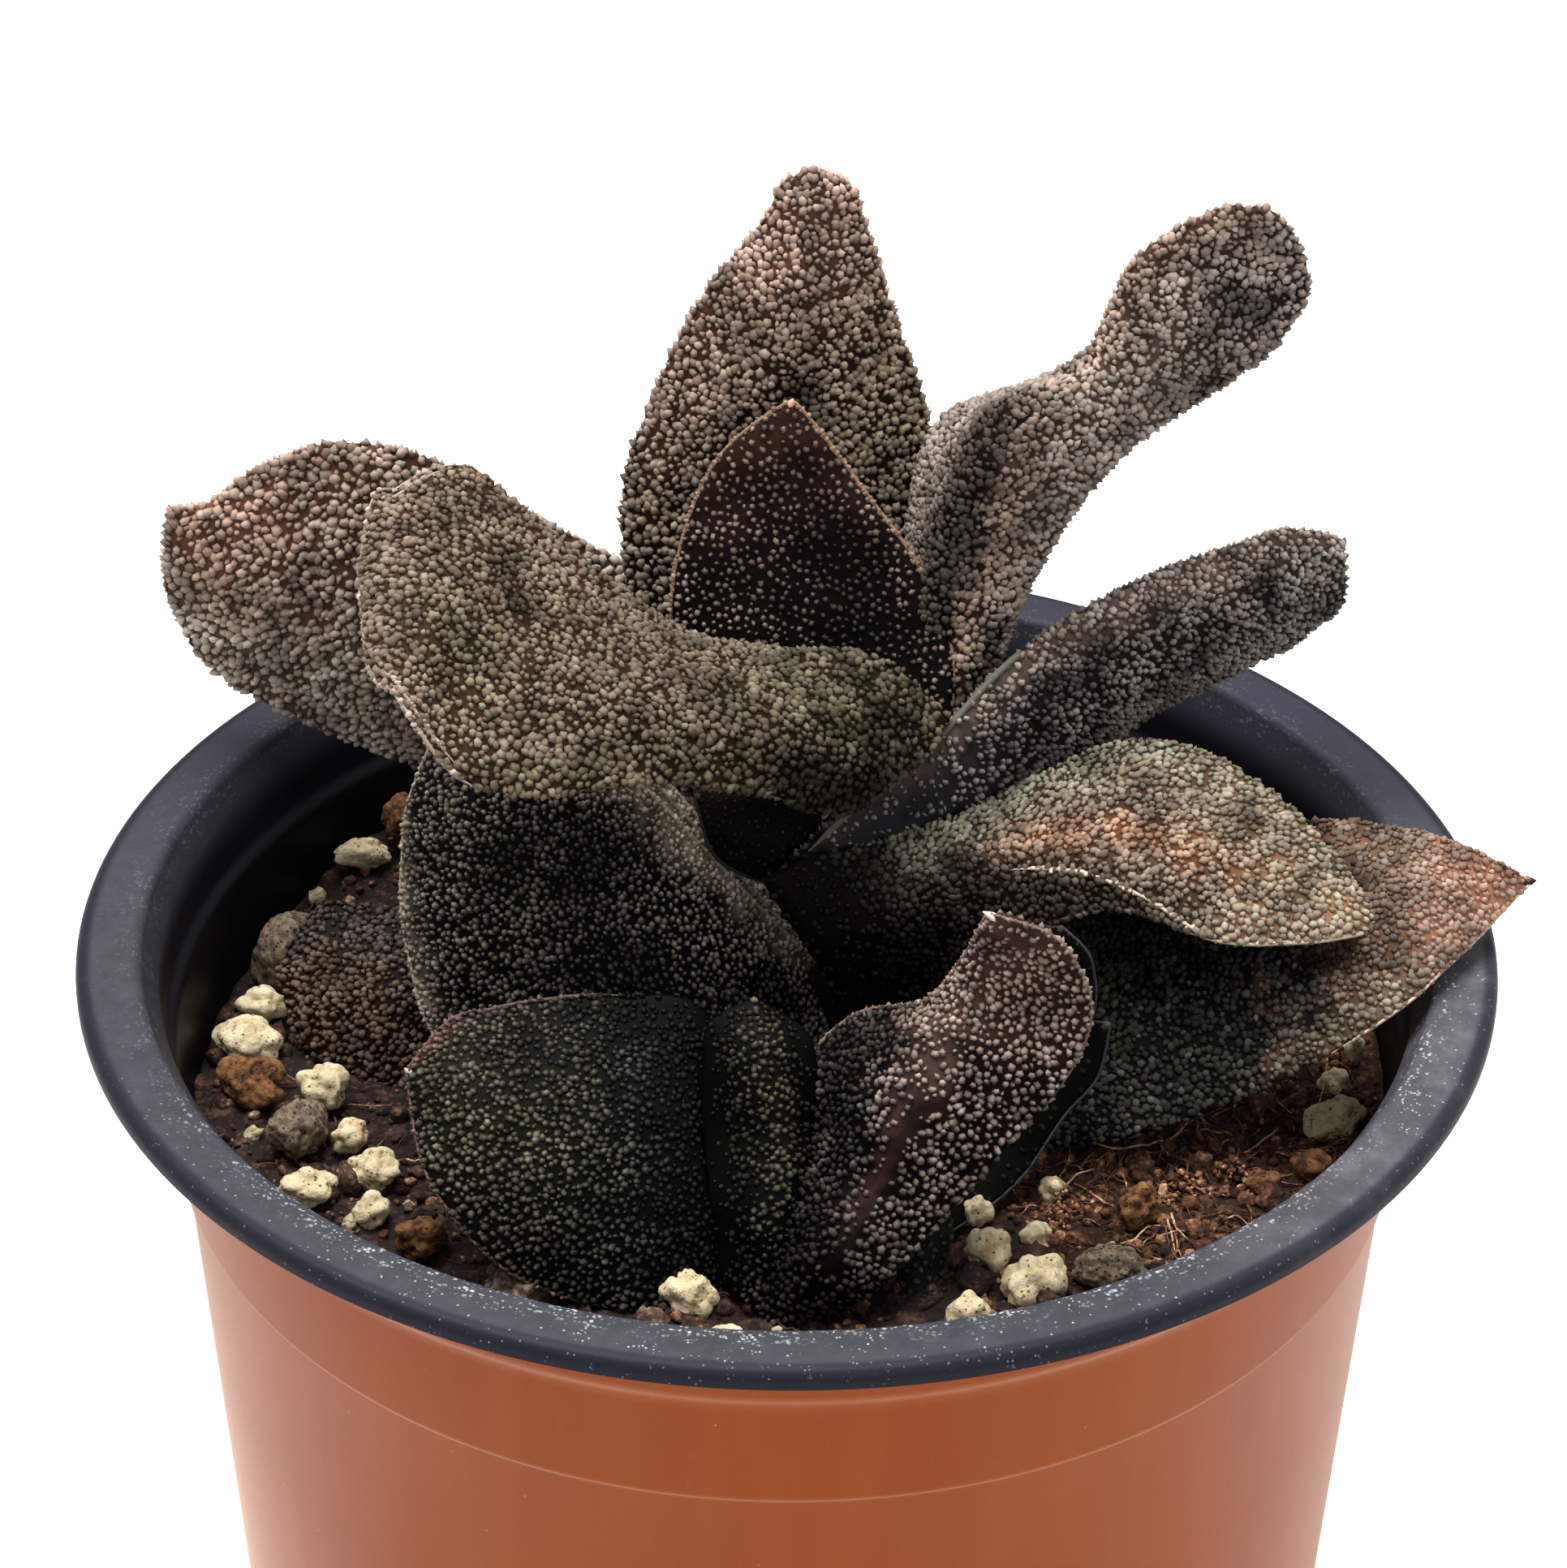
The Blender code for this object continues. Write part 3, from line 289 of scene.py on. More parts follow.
        ((19.6, -10.0, 89.1), (22.7, -13.0, 87.1), 0.0, 0.6),
    ]),
    "offset_leaf_n": dict(edge=0.5, back=(0.8, 0.8), tip=(11.1, -24.0, 83.8), rows=[
        ((1.5, -25.5, 73.0), (4.5, -26.5, 72.5), 0.0, 0.4),
        ((7.4, -27.0, 76.2), (10.6, -28.0, 77.0), 0.0, 0.6),
        ((8.0, -25.0, 78.7), (11.1, -26.0, 79.1), 0.0, 0.8),
        ((9.1, -24.0, 80.8), (11.8, -25.0, 82.0), 0.0, 0.6),
    ]),
}

# How the leaves look. gaps is the distance between warts on the front at the base, on the front
# at the tip, and on the back; size is a wart's radius as a share of that distance, rise its
# height, and flank how much of its own colour its sides have. keel sharpens the ridge along the
# front. Colours are (red, green, blue) as a screen shows them, from 0 to 255, and skin and
# wart list them from the base of the leaf to its tip; the darker colours at the base are partly
# real colour and partly painted shade. tints are other pairs of skin and wart colours. A patch
# is a soft spot on the front: the number of its tint, or 2 for painted shade, then its share of
# the length and its place across from -1 to 1, how far it reaches each way, and its strength.
# bald spots are alike and take warts away. A margin is a side, the shares of the length where
# it starts and ends, and the size of its beads, or of its line where it is smooth. A ridge is a
# row of beads on the front: their size, then its stops as share and place across.
LOOKS = {
    "leaf_a": dict(
        gaps=(0.72, 0.62, 0.82), size=0.64, rise=0.5, flank=0.9, keel=0.0,
        wart=[(181, 169, 149), (148, 133, 121), (196, 171, 157)],
        skin=[(20, 10, 6), (20, 9, 5), (66, 42, 33)],
        tints=[((30, 23, 12), (148, 141, 114)), ((94, 63, 51), (188, 162, 147))],
        patches=[
            (0, 0.42, 0.0, 0.2, 0.7, 0.8), (1, 0.92, 0.0, 0.13, 1.4, 0.9),
            (1, 0.7, -0.8, 0.16, 0.35, 0.5), (0, 0.62, 0.8, 0.2, 0.4, 0.6),
            (2, 0.66, 0.1, 0.12, 0.16, 0.7), (2, 0.8, 0.4, 0.05, 0.2, 0.4),
            (2, 0.3, 0.2, 0.16, 0.8, 0.3), (2, 0.5, 0.25, 0.08, 0.2, 0.5),
        ],
        mucro=(206, 186, 170), point=0.25,
    ),
    "leaf_b": dict(
        gaps=(0.68, 0.84, 0.8), size=0.36, rise=0.22, flank=0.5, keel=0.0,
        wart=[(143, 133, 124), (165, 149, 136), (175, 155, 141)],
        skin=[(3, 3, 3), (16, 10, 9), (46, 29, 25)],
        tints=[((66, 38, 31), (150, 122, 105))],
        patches=[
            (0, 0.98, 0.0, 0.1, 0.9, 1.0), (2, 0.62, 0.4, 0.25, 0.35, 0.9),
            (2, 0.4, 0.2, 0.3, 0.5, 0.5),
        ],
        bald=[(1.0, 0.0, 0.1, 1.0, 0.5)],
        margins=[("left", 0.3, 1.0, 0.2), ("right", 0.3, 1.0, 0.24)], margin=(150, 122, 104),
        mucro=(206, 160, 138), point=0.4,
    ),
    "leaf_c": dict(
        gaps=(0.66, 0.6, 0.72), size=0.67, rise=0.42, flank=0.92, keel=0.6,
        wart=[(164, 151, 139), (158, 144, 134), (175, 163, 154)],
        skin=[(18, 11, 9), (40, 27, 23), (59, 46, 39)],
        tints=[((86, 61, 51), (190, 165, 149)), ((84, 72, 62), (169, 158, 149))],
        patches=[
            (0, 0.12, 0.62, 0.1, 0.14, 1.0), (0, 0.28, 0.6, 0.1, 0.14, 1.0),
            (0, 0.42, 0.45, 0.08, 0.16, 1.0), (0, 0.53, 0.35, 0.06, 0.2, 1.0),
            (0, 0.61, -0.1, 0.05, 0.3, 1.0), (0, 0.69, -0.65, 0.06, 0.3, 1.0),
            (0, 0.8, -0.95, 0.1, 0.3, 1.0), (0, 0.93, -0.9, 0.06, 0.3, 0.8),
            (1, 0.36, 0.9, 0.12, 0.16, 1.2), (1, 0.5, 0.75, 0.1, 0.3, 1.2),
            (1, 0.62, 0.5, 0.08, 0.45, 1.3), (1, 0.72, 0.15, 0.07, 0.5, 1.2),
            (2, 0.2, 0.15, 0.14, 0.3, 1.2), (2, 0.35, 0.1, 0.12, 0.26, 1.2),
            (2, 0.47, 0.0, 0.06, 0.24, 0.8), (2, 0.12, 0.95, 0.1, 0.14, 1.1),
            # On the next line, the tint-1 patch on the left flank is painted light where it faces
            # away from the lamp.
            (2, 0.86, 0.1, 0.05, 0.35, 0.8), (1, 0.4, -0.75, 0.18, 0.4, 0.8),
            (2, 0.92, 0.55, 0.05, 0.35, 0.8), (2, 0.8, 0.85, 0.06, 0.3, 0.5),
        ],
        mucro=(110, 76, 66), point=0.4,
    ),
    "leaf_d": dict(
        gaps=(0.62, 0.62, 0.74), size=0.57, rise=0.38, flank=0.68, keel=0.0,
        wart=[(149, 146, 147), (156, 147, 139), (178, 171, 162)],
        skin=[(32, 30, 34), (28, 21, 18), (46, 38, 34)],
        tints=[((100, 84, 75), (190, 174, 162)), ((38, 37, 43), (123, 122, 126))],
        patches=[
            (0, 0.3, -1.0, 0.2, 0.18, 1.0), (0, 0.55, -1.0, 0.2, 0.24, 1.1),
            (0, 0.8, -1.0, 0.2, 0.3, 1.1), (1, 0.12, 0.0, 0.2, 1.0, 0.9),
            (2, 0.5, -0.45, 0.16, 0.3, 0.7), (2, 0.7, 0.1, 0.05, 0.4, 0.5),
            (2, 0.84, -0.35, 0.04, 0.4, 0.5), (2, 0.34, 0.0, 0.06, 0.5, 0.4),
            (2, 0.92, 0.6, 0.03, 0.5, 0.4),
        ],
        bald=[(0.1, 0.0, 0.22, 2.0, 0.65)],
        smooth=[("left", 0.0, 0.42, 0.27)], margin=(98, 92, 84),
        mucro=(110, 34, 28), point=0.4,
    ),
    "leaf_e": dict(
        gaps=(0.64, 0.6, 0.8), size=0.63, rise=0.36, flank=0.92, keel=0.4,
        wart=[(67, 64, 56), (148, 135, 122), (174, 159, 138)],
        skin=[(20, 16, 13), (60, 42, 32), (140, 107, 77)],
        tints=[((94, 53, 33), (190, 153, 128)), ((46, 44, 30), (142, 142, 123))],
        patches=[
            (0, 0.45, 0.14, 0.08, 0.2, 1.0), (0, 0.55, 0.24, 0.1, 0.22, 1.0),
            (0, 0.68, 0.28, 0.1, 0.26, 0.5), (1, 0.55, -0.85, 0.3, 0.35, 0.8),
            (1, 0.3, -0.7, 0.12, 0.4, 1.0), (1, 0.18, -1.0, 0.1, 0.3, 0.8),
            (1, 0.9, -0.6, 0.1, 0.4, 0.4), (2, 0.02, 0.0, 0.1, 3.0, 1.4),
            (2, 0.13, 0.4, 0.09, 0.9, 1.8), (2, 0.23, 0.55, 0.07, 0.6, 1.8),
            (2, 0.31, 0.8, 0.06, 0.5, 1.8), (2, 0.39, 0.98, 0.06, 0.4, 1.8),
            (2, 0.47, 1.06, 0.06, 0.34, 1.6), (2, 0.55, 1.1, 0.05, 0.22, 1.4),
            (2, 0.64, -0.1, 0.05, 0.3, 0.3), (2, 0.78, -0.3, 0.05, 0.4, 0.3),
        ],
        bald=[(0.02, 0.0, 0.08, 3.0, 0.7), (0.12, 0.8, 0.12, 0.4, 0.5)],
        margins=[("right", 0.66, 0.78, 0.22)], margin=(214, 196, 176),
        ridges=[(0.22, [(0.38, 0.42), (0.44, 0.56), (0.5, 0.68), (0.58, 0.86), (0.67, 0.995)])],
        smooth=[("right", 0.72, 1.0, 0.2)],
        mucro=(232, 218, 204), point=1.0,
    ),
    "leaf_f": dict(
        gaps=(0.66, 0.58, 0.9), size=0.6, rise=0.3, flank=0.9, keel=0.0,
        wart=[(60, 61, 53), (60, 60, 54), (182, 157, 140)],
        skin=[(9, 8, 6), (12, 9, 8), (160, 112, 88)],
        tints=[((158, 110, 88), (193, 159, 141)), ((96, 83, 66), (149, 141, 124))],
        patches=[
            (0, 0.92, 0.1, 0.08, 0.7, 0.8), (0, 1.0, 0.0, 0.08, 2.0, 1.0),
            (1, 0.74, 0.9, 0.1, 0.2, 0.9), (1, 0.8, -0.4, 0.06, 0.6, 0.3),
            (2, 0.5, -0.4, 0.16, 0.6, 0.6), (2, 0.7, -0.7, 0.04, 0.5, 0.7),
            (2, 0.775, -0.05, 0.035, 0.4, 0.6), (2, 0.7, 0.3, 0.06, 0.2, 0.6),
        ],
        margins=[("left", 0.8, 1.0, 0.12)],
        margin=(206, 180, 160), smooth=[("right", 0.66, 1.0, 0.13)],
        mucro=(50, 40, 36), point=0.4,
    ),
    "leaf_g": dict(
        gaps=(0.7, 0.62, 0.78), size=0.63, rise=0.38, flank=0.74, keel=0.0,
        wart=[(114, 107, 90), (132, 120, 104), (158, 142, 124)],
        skin=[(31, 24, 13), (38, 25, 15), (66, 47, 32)],
        tints=[((66, 42, 33), (139, 119, 108)), ((44, 39, 20), (122, 117, 89))],
        patches=[
            (0, 0.93, 0.5, 0.05, 0.4, 0.7), (0, 0.5, 0.3, 0.12, 0.4, 0.7),
            (0, 0.7, 0.85, 0.14, 0.2, 0.6), (0, 0.96, -0.6, 0.05, 0.5, 0.6),
            (1, 0.84, -0.2, 0.07, 0.4, 0.7), (1, 0.5, -0.95, 0.3, 0.2, 0.5),
            (1, 0.24, 0.1, 0.12, 0.4, 0.7), (2, 0.36, -0.2, 0.08, 0.3, 0.5),
            (2, 0.85, 0.5, 0.02, 0.1, 0.6), (2, 0.1, 0.2, 0.08, 1.0, 0.6),
            (2, 0.2, -0.8, 0.14, 0.4, 1.1), (2, 0.74, 0.3, 0.05, 0.4, 0.4),
        ],
        margins=[('left', 0.78, 1.0, 0.25), ('right', 0.82, 1.0, 0.25)], margin=(188, 170, 156),
        ridges=[
            (0.2, [(0.82, -0.97), (0.9, -0.95), (0.96, -0.9)]),
            (0.2, [(0.84, 0.98), (0.9, 0.95), (0.96, 0.9)]),
        ],
        mucro=(170, 150, 132), point=0.2,
    ),
    "leaf_h": dict(
        gaps=(0.74, 0.74, 0.8), size=0.65, rise=0.5, flank=0.9, keel=0.0,
        wart=[(212, 199, 183), (176, 160, 149), (190, 166, 149)],
        skin=[(56, 44, 35), (66, 43, 34), (108, 68, 52)],
        tints=[((100, 64, 49), (187, 158, 141)), ((96, 82, 69), (213, 202, 187))],
        patches=[
            (0, 0.9, 0.2, 0.07, 0.6, 0.9), (0, 0.84, 0.75, 0.06, 0.3, 0.6),
            (1, 0.72, -0.9, 0.3, 0.5, 1.2), (1, 0.5, -0.9, 0.24, 0.8, 1.0),
            (2, 0.66, 0.5, 0.1, 0.3, 0.3), (2, 0.78, -0.2, 0.05, 0.3, 0.35),
        ],
        mucro=(214, 160, 146), point=0.7,
    ),
    "leaf_i": dict(
        gaps=(0.62, 0.62, 0.95), size=0.5, rise=0.3, flank=0.4, keel=0.0,
        wart=[(209, 201, 183), (149, 142, 131), (152, 142, 127)],
        skin=[(8, 7, 5), (2, 2, 2), (8, 7, 6)],
        tints=[((146, 132, 114), (225, 214, 196))],
        patches=[
            (0, 0.4, 0.94, 0.5, 0.16, 1.6), (0, 0.12, 0.92, 0.14, 0.18, 1.2),
            (0, 0.85, -1.0, 0.25, 0.1, 0.6), (2, 0.4, -0.2, 0.14, 0.4, 0.8),
            (2, 0.62, 0.3, 0.1, 0.3, 0.8), (2, 0.18, 0.15, 0.1, 0.4, 1.2),
            (2, 0.75, 0.0, 0.05, 0.2, 0.5), (2, 0.2, -0.95, 0.2, 0.3, 0.6),
        ],
        margins=[("left", 0.25, 1.0, 0.2), ("right", 0.0, 0.86, 0.36)], margin=(176, 164, 148),
        ridges=[
            (0.26, [(0.02, 0.9), (0.3, 0.9), (0.62, 0.9)]),
            (0.3, [(0.02, 0.96), (0.3, 0.96), (0.62, 0.96)]),
        ],
        mucro=(90, 76, 62), point=0.2,
    ),
    "leaf_o": dict(
        gaps=(0.66, 0.62, 0.95), size=0.6, rise=0.36, flank=0.58, keel=0.0,
        wart=[(83, 73, 64), (105, 89, 75), (120, 102, 85)],
        skin=[(12, 6, 4), (16, 8, 4), (30, 17, 10)],
        tints=[((20, 17, 14), (86, 81, 79))],
        patches=[(0, 0.8, 0.8, 0.3, 0.5, 0.8)],
        mucro=(100, 80, 60), point=0.2,
    ),
    "leaf_p": dict(
        gaps=(0.7, 0.7, 0.9), size=0.25, rise=0.14, flank=0.4, keel=0.0,
        wart=[(44, 42, 42), (48, 44, 44), (58, 52, 50)],
        skin=[(4, 3, 4), (6, 4, 5), (16, 12, 11)],
        smooth=[("left", 0.1, 1.0, 0.18), ("right", 0.1, 1.0, 0.18)], margin=(40, 36, 35),
        mucro=(70, 58, 54), point=0.2,
    ),
    "leaf_q": dict(
        gaps=(0.9, 0.9, 1.2), size=0.3, rise=0.12, flank=0.4, keel=0.0,
        wart=[(40, 38, 34), (44, 42, 38), (60, 54, 50)],
        skin=[(12, 11, 9), (14, 13, 11), (30, 24, 20)],
        mucro=(60, 50, 44), point=0.2,
    ),
    "offset_leaf_j": dict(
        gaps=(0.6, 0.64, 0.9), size=0.52, rise=0.28, flank=0.36, keel=0.0,
        wart=[(80, 80, 73), (88, 87, 77), (119, 108, 95)],
        skin=[(1, 1, 1), (2, 2, 1), (14, 12, 8)],
        tints=[((22, 23, 12), (130, 128, 106)), ((80, 54, 47), (157, 134, 121))],
        patches=[
            (0, 0.66, -0.1, 0.18, 0.5, 0.9), (1, 0.97, 0.9, 0.08, 0.3, 0.9),
            (0, 0.9, -0.2, 0.1, 0.7, 1.0), (2, 0.3, 0.6, 0.2, 0.4, 0.5),
            (2, 0.06, 0.0, 0.14, 2.0, 1.4), (2, 0.5, -0.7, 0.1, 0.3, 0.5),
            (2, 0.2, 0.0, 0.1, 0.8, 0.7), (2, 0.2, 1.0, 0.3, 0.24, 1.8),
        ],
        bald=[(0.12, 1.0, 0.2, 0.12, 1.0)],
        margins=[("left", 0.4, 1.0, 0.18), ("right", 0.45, 1.0, 0.2)], margin=(112, 92, 83),
        mucro=(200, 168, 156), point=0.4,
    ),
    "offset_leaf_k": dict(
        gaps=(0.6, 0.6, 0.8), size=0.5, rise=0.26, flank=0.32, keel=0.0,
        wart=[(97, 97, 84), (113, 109, 91), (103, 97, 82)],
        skin=[(2, 2, 1), (4, 4, 2), (6, 6, 4)],
        tints=[((20, 19, 10), (130, 125, 100))],
        patches=[
            (0, 0.6, 0.1, 0.22, 0.24, 1.1), (2, 0.5, -1.0, 0.6, 0.55, 2.2),
            (2, 0.5, 1.0, 0.6, 0.5, 2.2), (2, 0.3, 0.2, 0.1, 0.4, 0.5),
            (2, 1.0, 0.0, 0.06, 1.0, 0.9),
        ],
        bald=[(0.5, -1.0, 0.6, 0.26, 1.0), (0.5, 1.0, 0.6, 0.34, 1.0), (1.0, 0.0, 0.03, 1.0, 0.9)],
        mucro=(96, 86, 70), point=0.2,
    ),
    "offset_leaf_l": dict(
        gaps=(0.7, 0.64, 0.85), size=0.5, rise=0.36, flank=0.66, keel=0.4,
        wart=[(122, 111, 104), (179, 163, 152), (182, 164, 150)],
        skin=[(12, 8, 7), (22, 14, 11), (58, 39, 34)],
        # The second tint is painted shade on the left flap, which folds away from the light.
        tints=[((86, 62, 58), (193, 171, 158)), ((3, 3, 3), (66, 63, 59))],
        patches=[
            (0, 0.3, 0.14, 0.14, 0.1, 1.2), (0, 0.46, 0.08, 0.1, 0.1, 1.2),
            (0, 0.58, -0.06, 0.07, 0.12, 1.2), (0, 0.67, -0.32, 0.07, 0.2, 1.2),
            (0, 0.76, -0.65, 0.08, 0.24, 1.1), (0, 0.94, -0.2, 0.08, 1.0, 1.0),
            (1, 0.15, -0.5, 0.16, 0.55, 1.4), (1, 0.36, -0.55, 0.14, 0.55, 1.7),
            (1, 0.53, -0.75, 0.1, 0.5, 1.7), (1, 0.65, -1.0, 0.08, 0.35, 1.2),
            (2, 0.4, -0.7, 0.2, 0.4, 0.7), (2, 0.05, 0.3, 0.14, 1.6, 1.2),
        ],
        bald=[
            (0.15, 0.34, 0.1, 0.1, 0.8), (0.32, 0.32, 0.12, 0.08, 1.0),
            (0.46, 0.27, 0.08, 0.08, 0.9), (0.58, 0.13, 0.08, 0.08, 0.7),
            (0.97, -0.2, 0.05, 1.4, 0.6), (0.2, -1.0, 0.24, 0.13, 1.0),
        ],
        margins=[("left", 0.3, 1.0, 0.2), ("right", 0.6, 1.0, 0.16)], margin=(136, 110, 101),
        mucro=(236, 224, 214), point=0.7,
    ),
    "offset_leaf_m": dict(
        gaps=(1.3, 1.3, 1.3), size=0.2, rise=0.1, flank=0.4, keel=0.0,
        wart=[(34, 34, 34), (36, 36, 36), (42, 41, 41)],
        skin=[(2, 2, 2), (3, 3, 3), (8, 8, 8)],
        smooth=[("left", 0.3, 1.0, 0.12), ("right", 0.3, 1.0, 0.12)], margin=(50, 48, 52),
        mucro=(60, 56, 56), point=0.2,
    ),
    "offset_leaf_r": dict(
        gaps=(1.2, 1.2, 1.2), size=0.22, rise=0.1, flank=0.4, keel=0.0,
        wart=[(34, 36, 32), (36, 38, 34), (42, 40, 38)],
        skin=[(3, 4, 3), (5, 5, 4), (8, 8, 8)],
        smooth=[("left", 0.3, 1.0, 0.12), ("right", 0.3, 1.0, 0.12)], margin=(58, 56, 58),
        mucro=(60, 56, 56), point=0.2,
    ),
    "offset_leaf_n": dict(
        gaps=(0.8, 0.7, 0.9), size=0.42, rise=0.2, flank=0.4, keel=0.0,
        wart=[(66, 74, 66), (76, 82, 72), (90, 92, 80)],
        skin=[(14, 19, 16), (20, 26, 22), (32, 34, 29)],
        mucro=(80, 78, 68), point=0.2,
    ),
}

# Each rootlet's way over the soil
ROOTLETS = [
    (
        (22.2, -10.3), (23.9, -11.3), (26.3, -10.8), (28.6, -10.1), (30.3, -8.0), (32.1, -5.8),
        (34.5, -4.1),
    ),
    ((24.1, -22.2), (25.2, -21.6), (26.1, -20.2), (27.8, -20.1)),
    ((27.6, -19.0), (27.8, -20.9), (27.9, -23.2)),
    ((28.0, -18.6), (28.2, -20.5), (28.9, -22.0)),
    ((35.5, -3.6), (36.7, -5.5), (37.8, -7.2)),
    ((41.3, 1.0), (40.7, -2.9), (39.8, -6.9)),
    ((20.4, -15.4), (21.4, -14.1), (22.7, -13.4)),
    ((33.8, -12.4), (35.2, -10.7), (36.6, -9.0)),
    ((33.6, -5.8), (34.3, -4.2)),
    ((31.9, -20.1), (32.7, -19.6), (33.7, -20.9)),
]

# Each stone's kind, place and size
STONES = [
    ("ash_stone", (-38.9, 12.8, 78.5), (6.6, 5.5, 7.4)),
    ("pumice", (-40.8, 8.2, 77.2), (4.4, 3.4, 3.4)),
    ("pumice", (-41.4, 3.4, 77.4), (5.4, 4.4, 4.0)),
    ("lava", (-40.6, -2.0, 77.3), (5.8, 4.6, 4.4)),
    ("pumice", (-35.0, -2.6, 77.5), (4.0, 4.0, 4.0)),
    ("ash_stone", (-36.4, -8.2, 77.6), (5.0, 4.6, 4.8)),
    ("pumice", (-32.3, -8.4, 77.2), (3.2, 2.8, 2.8)),
    ("pumice", (-30.4, -12.4, 77.2), (4.6, 3.6, 3.2)),
    ("pumice", (-35.2, -14.4, 77.0), (4.8, 3.6, 3.0)),
    ("pumice", (-30.3, -16.9, 76.9), (3.2, 3.0, 2.6)),
    ("pumice", (-34.6, 25.6, 79.9), (5.0, 2.6, 2.8)),
    ("lava", (-31.2, 28.6, 81.6), (4.0, 3.6, 3.8)),
    ("lava", (-26.3, -20.4, 77.3), (4.2, 3.8, 3.2)),
    ("ash_stone", (-18.8, -26.0, 77.6), (6.0, 4.6, 3.8)),
    ("pumice", (-5.9, -21.9, 77.9), (2.4, 2.4, 2.6)),
    ("pumice", (-6.6, -27.6, 78.1), (4.4, 3.8, 3.8)),
    ("pumice", (-3.9, -31.9, 77.7), (2.8, 2.4, 2.4)),
    ("pumice", (14.0, -18.6, 78.6), (2.4, 2.4, 2.6)),
    ("pumice", (14.6, -23.6, 78.9), (3.6, 3.4, 4.0)),
    ("pumice", (12.9, -30.2, 78.8), (3.4, 3.2, 3.4)),
    ("pumice", (17.5, -27.4, 79.3), (5.0, 4.4, 4.4)),
    ("pumice", (18.2, -21.6, 78.7), (2.8, 2.4, 2.4)),
    ("pumice", (19.6, -15.6, 78.4), (2.2, 2.2, 2.2)),
    ("ash_stone", (23.2, -25.8, 79.2), (5.6, 4.4, 3.8)),
    ("lava", (25.4, -18.6, 79.2), (3.6, 3.4, 3.6)),
    ("lava", (34.8, -16.2, 79.3), (3.0, 2.8, 2.8)),
    ("lava", (38.6, -14.2, 79.4), (3.0, 2.8, 2.6)),
    ("pumice", (40.9, -8.4, 79.6), (4.8, 4.0, 3.8)),
    ("pumice", (41.2, -3.6, 79.4), (2.6, 2.4, 2.4)),
    ("pumice", (42.9, -0.2, 80.2), (2.2, 2.2, 3.6)),
]
STONE_ROUGHNESS = 0.22
LARGE_STONE = 3.5
KNOBS = 13
KNOB_REACH = 0.56

# How each kind looks: colours in the hollows, on the surface and on high spots, which are partly
# real colour and partly painted shade and light, then how deep its lobes and its grain are, the
# size of its pores, in millimetres, and how few small pores it has. Pores are painted darker as
# shade.
STONE_LOOKS = {
    "pumice": ([(138, 112, 76), (198, 180, 140), (226, 212, 182)], 1.0, 0.09, 0.14, 0.5),
    "lava": ([(18, 10, 7), (70, 42, 26), (134, 94, 58)], 0.8, 0.14, 0.3, 0.5),
    "ash_stone": ([(16, 12, 10), (80, 68, 57), (132, 116, 98)], 0.6, 0.2, 0.3, 0.34),
}

# Places on each stem and its radius there
STEMS = {
    "stem": [
        (5.0, 9.0, 70.0, 5.2), (5.5, 9.5, 80.0, 5.0), (7.0, 11.0, 92.0, 4.4),
        (9.0, 12.0, 102.0, 3.4),
    ],
    "offset_stem": [(-0.5, -24.5, 70.0, 4.0), (-0.5, -24.0, 77.0, 3.8), (-1.0, -22.0, 84.0, 2.8)],
}

STEM_PITCH = 0.35
STEM_SIDES = 64

# The dry flake's spine and half its width there, and its cut as shares of that, over and under
FLAKE_SPINE = [
    (2.7, 13.2, 106.4, 0.9), (2.7, 13.0, 108.0, 1.0), (2.5, 12.9, 109.4, 0.7),
    (1.7, 12.8, 110.5, 0.35), (1.0, 12.6, 110.2, 0.12),
]
FLAKE_CUT = [
    (-1.0, 0.0), (-0.5, 0.22), (0.0, 0.3), (0.5, 0.22),
    (1.0, 0.0), (0.5, 0.08), (0.0, 0.14), (-0.5, 0.08),
]

# The camera in millimetres and degrees
CAMERA_PLACE = (0.0, -260.315, 269.373)
CAMERA_PITCH = 32.535
CAMERA_YAW = -0.076
CAMERA_ROLL = 0.439
CAMERA_LENS = 97.19

# Light: each lamp's place and size in metres, and its power in watts
WORLD_STRENGTH = 0.6
LAMP_TARGET = (0.0, 0.0, 0.09)
LAMPS = {
    "top_light": ((-0.1, 0.12, 0.85), 0.6, 13.0),
    "front_light": ((0.3, -0.75, 0.6), 0.5, 1.5),
}


# Colour and shader helpers

def shade(value):
    """A screen colour as the four linear values that shaders take. Others stay as they are."""
    if isinstance(value, bpy.types.NodeSocket) or len(value) == 4:
        return value
    values = [v / 255.0 for v in value]
    values = [v / 12.92 if v <= 0.04045 else ((v + 0.055) / 1.055) ** 2.4 for v in values]
    return (*values, 1.0)


